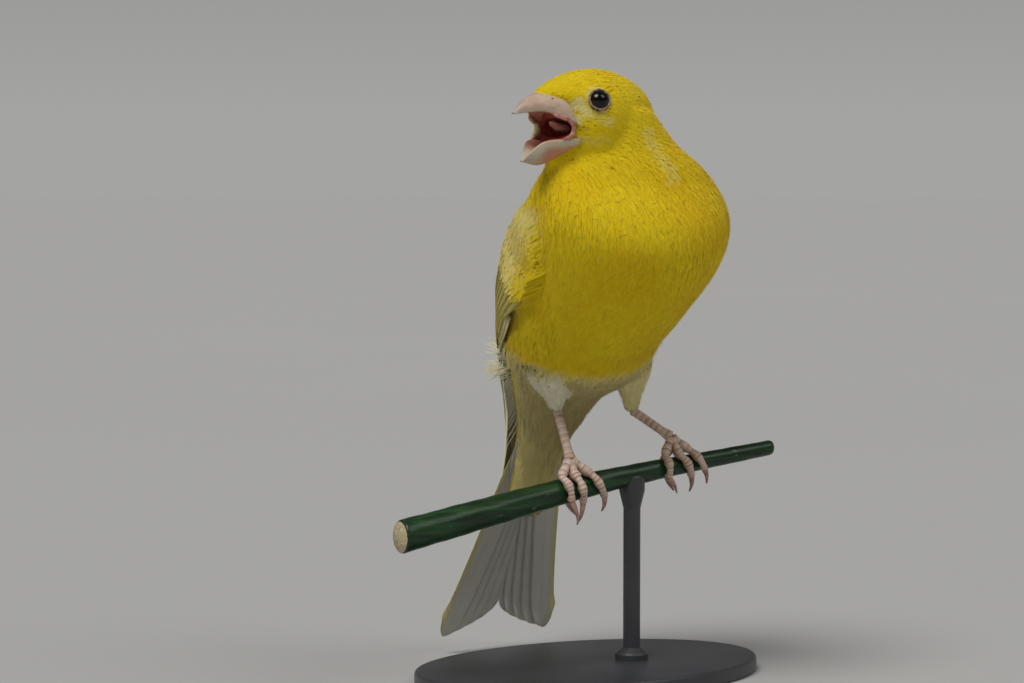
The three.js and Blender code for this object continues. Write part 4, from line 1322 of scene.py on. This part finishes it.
def fork(out):
    """How far along the tail it ends, from its middle to its outer edge."""
    return mix(TAIL["fork"], TAIL["length"], np.sqrt(np.clip(out, 0, 1)))


def tail_feather(k, side):
    reach = fork(k / (TAIL["pairs"] - 1))

    def shape(share, edge):
        rim = fan(mix(TAIL["start"], reach, share)) * (k + 1) / TAIL["pairs"]
        centre = np.maximum(rim - TAIL["half"], TAIL["half"] * 0.7)
        square = mix(0.5, 1, smooth(share, 0, 0.35)) * mix(1, 0.62, smooth(share, 0.9, 1) ** 2)
        off = centre + edge * TAIL["half"] * square
        out = off / fan(TAIL["length"])
        end = fork(out) - 7 * smooth(out, 0.8, 1.02) ** 2
        along = mix(TAIL["start"], end - 0.5 * edge**2, share)
        ridge = 0.06 * (1 - np.abs(edge)) ** 3 - 0.08 * np.abs(edge)
        return tail_point(along, side * off, -0.28 * (k + (0.5 if side < 0 else 0)) + 0.28 + ridge)

    return shape, 0


def tail_covert(k, count, reach, lift):
    """One of a row of coverts, yellow above the tail and whitish below it."""
    place = (k - (count - 1) / 2) * 10 / count

    def shape(share, edge):
        along = mix(TAIL["start"] - 2, reach - 0.35 * place**2, share)
        across = place * 0.9 + edge * 2.3 * blade(share, 0.4)
        return tail_point(along, across, lift + 0.1 * (1 - np.abs(edge)) ** 2)

    return shape, 0.9 if lift > 0 else 0


def make_tail():
    shapes = [tail_feather(k, side) for k in range(TAIL["pairs"]) for side in (1, -1)]
    for count, reach, lift, drop in TAIL_COVERTS:
        shapes += [tail_covert(k, count, reach, lift + drop * abs(k - 3)) for k in range(count)]
    return dressed(long_vanes("tail_fan", shapes, TAIL_VANE), "tail_feathers", "tail")


make_tail()


# The cane, the legs and the stand

SCUTES, TOE_SCUTES = 8, 12  # plates down the front of a tarsus and along a toe
TOE_HIGH = GAP + TOE - 0.15  # from the cane to the middle of a toe
NAIL = (TOE * 0.72, 0.13)  # radius of a claw at its root and its tip
cane = rail(CANE)


def cane_radius(x):
    return mix(CANE_THICK, CANE_THIN, smooth(x, CANE[0][0] - 20, CANE[2][0] + 8) ** 1.15)


def cane_centre(x):
    x = np.atleast_1d(np.asarray(x, float))
    return cane((x - CANE[0][0]) / (CANE[2][0] - CANE[0][0]))


def make_perch():
    def place(share, angle, reach):
        at = cane(share)
        wave = 1 + 0.012 * np.sin(at[:, 0] * 0.55 + 2 * angle) + 0.01 * np.sin(at[:, 0] * 1.3 + angle)
        near = np.minimum(share, 1 - share) * 90
        radius = cane_radius(at[:, 0]) * wave * reach * (1 - 0.08 * np.maximum(0, 1 - near / 0.5) ** 2)
        at[:, 1] += np.sin(angle) * radius
        at[:, 2] += np.cos(angle) * radius
        return at

    piece = made("cut_cane", loft(place, 48, 180), [cane_bark(), PITH])
    for face in piece.data.polygons:
        face.material_index = int(abs(face.normal.x) > 0.9)
    return dressed(piece, "cane_bark", "perch")


make_perch()


def round_cane(x, turn, off):
    """A point outside the cane, turned in degrees from its top towards the front."""
    at = cane_centre(x)[0]
    radius = float(cane_radius(x)) + off
    return (x, at[1] - math.sin(math.radians(turn)) * radius, at[2] + math.cos(math.radians(turn)) * radius)


def off_cane(at):
    """The way straight out from the cane."""
    out = at - cane_centre(at[:, 0])
    out[:, 0] = 0
    return out


def toe_path(leg, toe):
    over, end, _, wrap, _ = toe
    path = [leg["foot"]]
    for share in (0.22, 0.5, 0.75, 1):
        path.append(round_cane(mix(over, end, (share - 0.22) / 0.78), wrap * share, TOE_HIGH))
    return path


def scutes(share, count):
    """The step of overlapping plates, from 0 at the root of a plate to 1 at its lip."""
    return (share * count) % 1


def shank_radius(share, angle):
    swell = 0.35 * smooth(share, 0.75, 1) + 0.25 * smooth(share, 0.12, 0)
    front = 0.07 * scutes(share, SCUTES) ** 2 * (np.cos(angle) > 0.1)
    return TARSUS * 0.97 * (1 + swell + front)


def toe_radius(share, angle):
    knuckle = 0.1 * np.cos(6 * np.pi * share)
    plate = 0.09 * scutes(share, TOE_SCUTES) ** 2 * (np.cos(angle) > 0.2)
    pad = knuckle * (np.cos(angle) < -0.2)
    return TOE * (1.08 - 0.3 * share + knuckle + plate + pad)


def mark_shank(piece, top, low):
    """Pale plates on a tarsus's front, with redder creases between them and behind."""
    top, low = np.array(top, float), np.array(low, float)
    at = points_of(piece.data)
    share = np.clip((at - top) @ (low - top) / ((low - top) @ (low - top)), 0, 1)
    front = at[:, 1] < mix(top[1], low[1], share)
    step = scutes(share, SCUTES)
    add_number(piece.data, "scute", 0.6 * smooth(step, 0.3, 0.9) * front)
    add_number(piece.data, "crease", 0.7 * np.maximum(smooth(step, 0.14, 0.02), 0.5 * (1 - front)))


def mark_digit(piece, path):
    """Pale plates on a toe's top, with redder creases between them and along its sides."""
    at = points_of(piece.data)
    line = rail(path)(np.linspace(0, 1, 120))
    place = nearest_step(line, at)
    top = smooth((unit(off_cane(at)) * unit(at - line[place])).sum(1), 0.1, 0.7)
    step = scutes(place / (len(line) - 1), TOE_SCUTES)
    add_number(piece.data, "scute", 0.8 * smooth(step, 0.2, 0.8) * top)
    add_number(piece.data, "crease", 0.75 * np.maximum(smooth(step, 0.16, 0.03), 0.35 * (1 - top)))


def make_leg(side):
    leg = LEGS[side]
    shank = limb([leg["heel"], leg["foot"]], shank_radius, one_way(0, -1, 0), around=24, along=96, cap=0.06)
    tarsus = made(f"shank_{side}", shank, [LEG_SKIN])
    mark_shank(tarsus, leg["heel"], leg["foot"])
    dressed(tarsus, "leg_skin", f"tarsus_{side}")
    for name, toe in leg["toes"].items():
        path = toe_path(leg, toe)
        form = limb(path, toe_radius, off_cane, around=20, along=80, cap=0.05)
        digit = made(f"{name}_digit_{side}", form, [LEG_SKIN])
        mark_digit(digit, path)
        dressed(digit, "leg_skin", f"{name}_toe_{side}")
        _, end, tip, wrap, reach = toe
        sign = math.copysign(1, wrap)
        nail_path = [
            round_cane(end, wrap - 2 * sign, TOE_HIGH),
            round_cane(mix(end, tip, 0.5), wrap + 17 * sign, GAP + TOE * 0.8 + reach * 0.4),
            round_cane(tip, wrap + 36 * sign, GAP + reach),
        ]
        nail = limb(nail_path, lambda share, angle: mix(*NAIL, share), off_cane,
                    around=16, along=30, cap=0.05)
        dressed(made(f"{name}_nail_{side}", nail, [CLAW]), "claw_horn", f"{name}_claw_{side}")


make_leg("right")
make_leg("left")


def make_base():
    base = bmesh.new()
    bmesh.ops.create_circle(base, cap_ends=True, segments=128, radius=1)
    bmesh.ops.scale(base, vec=(STAND["length"] / 2, STAND["depth"] / 2, 1), verts=base.verts)
    swept(base, base.faces[:], (0, 0, STAND["height"]))
    rims = [e for e in base.edges if abs(e.verts[0].co.z - e.verts[1].co.z) < 1e-6]
    bmesh.ops.bevel(base, geom=rims, offset=STAND["bevel"], segments=4, profile=0.5, affect="EDGES",
                    material=-1)
    dressed(made("display_base", base, [ENAMEL]), "stand_enamel", "stand_base")


def make_rod():
    """A turned rod with a collar at its foot and a saddle under the cane."""
    foot, top = STAND["height"], float(cane_centre(STAND["x"])[0][2])
    thin, wide = STAND["rod"], STAND["saddle"]
    profile = [
        (0.01, foot - 0.2), (wide + 0.8, foot - 0.2), (wide + 0.8, foot + 1.2), (wide + 0.4, foot + 1.6),
        (thin, foot + 2.6), (thin, top - 7), (wide - 0.1, top - 3.7), (wide, top - 3.4),
        (wide, top - 0.4), (wide - 0.3, top), (0.01, top),
    ]
    rod = bmesh.new()
    line = [rod.verts.new((r, 0, z)) for r, z in profile]
    edges = [rod.edges.new(pair) for pair in zip(line, line[1:])]
    bmesh.ops.spin(rod, geom=line + edges, cent=(0, 0, 0), axis=(0, 0, 1), angle=2 * math.pi, steps=48,
                   use_merge=True)
    bmesh.ops.remove_doubles(rod, verts=rod.verts, dist=0.02)
    bmesh.ops.translate(rod, vec=(STAND["x"], CANE[0][1], 0), verts=rod.verts)
    dressed(made("display_rod", rod, [ENAMEL], False), "stand_enamel", "stand_rod")


make_base()
make_rod()


# Floor, light and camera

def make_floor():
    bm = bmesh.new()
    bmesh.ops.create_circle(bm, cap_ends=True, segments=96, radius=9000)
    floor_finish = Finish("floor", 0.8)
    floor_finish.colour(floor_finish.blend(floor_finish.noise(3.0), (0.50, 0.50, 0.495), (0.52, 0.52, 0.515)))
    made("floor", bm, [floor_finish.material])


def make_light():
    """Soft light from the upper left, and a studio that is brightest where it meets the floor."""
    world = bpy.data.worlds.new("studio")
    world.use_nodes = True
    tree = world.node_tree
    split = tree.nodes.new("ShaderNodeSeparateXYZ")
    tree.links.new(tree.nodes.new("ShaderNodeTexCoord").outputs["Generated"], split.inputs["Vector"])
    fade = tree.nodes.new("ShaderNodeMapRange")
    for key, value in (("From Min", 0.02), ("From Max", 0.3), ("To Min", 0.375), ("To Max", 0.08)):
        fade.inputs[key].default_value = value
    tree.links.new(split.outputs["Z"], fade.inputs["Value"])
    background = tree.nodes["Background"]
    background.inputs["Color"].default_value = (0.99, 0.985, 0.975, 1)
    tree.links.new(fade.outputs["Result"], background.inputs["Strength"])
    bpy.context.scene.world = world
    for name, energy, toward in (("key", 1.95, (-0.45, -0.2, 0.87)), ("fill", 0.5, (0.4, -0.52, 0.75))):
        sun = bpy.data.lights.new(name, "SUN")
        sun.energy, sun.angle, sun.color = energy, math.radians(30), (1, 0.99, 0.97)
        lamp = bpy.data.objects.new(name, sun)
        lamp.rotation_euler = Vector(toward).to_track_quat("Z", "Y").to_euler()
        bpy.context.scene.collection.objects.link(lamp)
    view = bpy.context.scene.view_settings
    view.view_transform, view.look = "Standard", "None"


def make_camera():
    """Looks from the photograph's viewpoint, with one place on the cane at its own pixel."""
    lens, width, height = 100.0, 1024, 683
    turn, rise = math.radians(-30), math.radians(3.5)
    anchor, pixel, away = Vector((9.5, -2.0, 41.5)), (632.0, 478.0), 597.0
    back = Vector((math.sin(turn) * math.cos(rise), -math.cos(turn) * math.cos(rise), math.sin(rise)))
    right = Vector((math.cos(turn), math.sin(turn), 0))
    up = right.cross(-back)
    per_pixel = 36 / lens / width
    at = anchor + away * back
    at -= away * per_pixel * (right * (pixel[0] - width / 2) + up * (height / 2 - pixel[1]))
    camera = bpy.data.objects.new("camera", bpy.data.cameras.new("camera"))
    camera.data.lens, camera.data.sensor_width, camera.data.clip_start = lens, 36, 0.01
    camera.matrix_world = Matrix.Translation(at * MM) @ Matrix(
        [(right[i], up[i], back[i]) for i in range(3)]).to_4x4()
    bpy.context.scene.collection.objects.link(camera)
    bpy.context.scene.camera = camera


make_floor()
make_light()
make_camera()
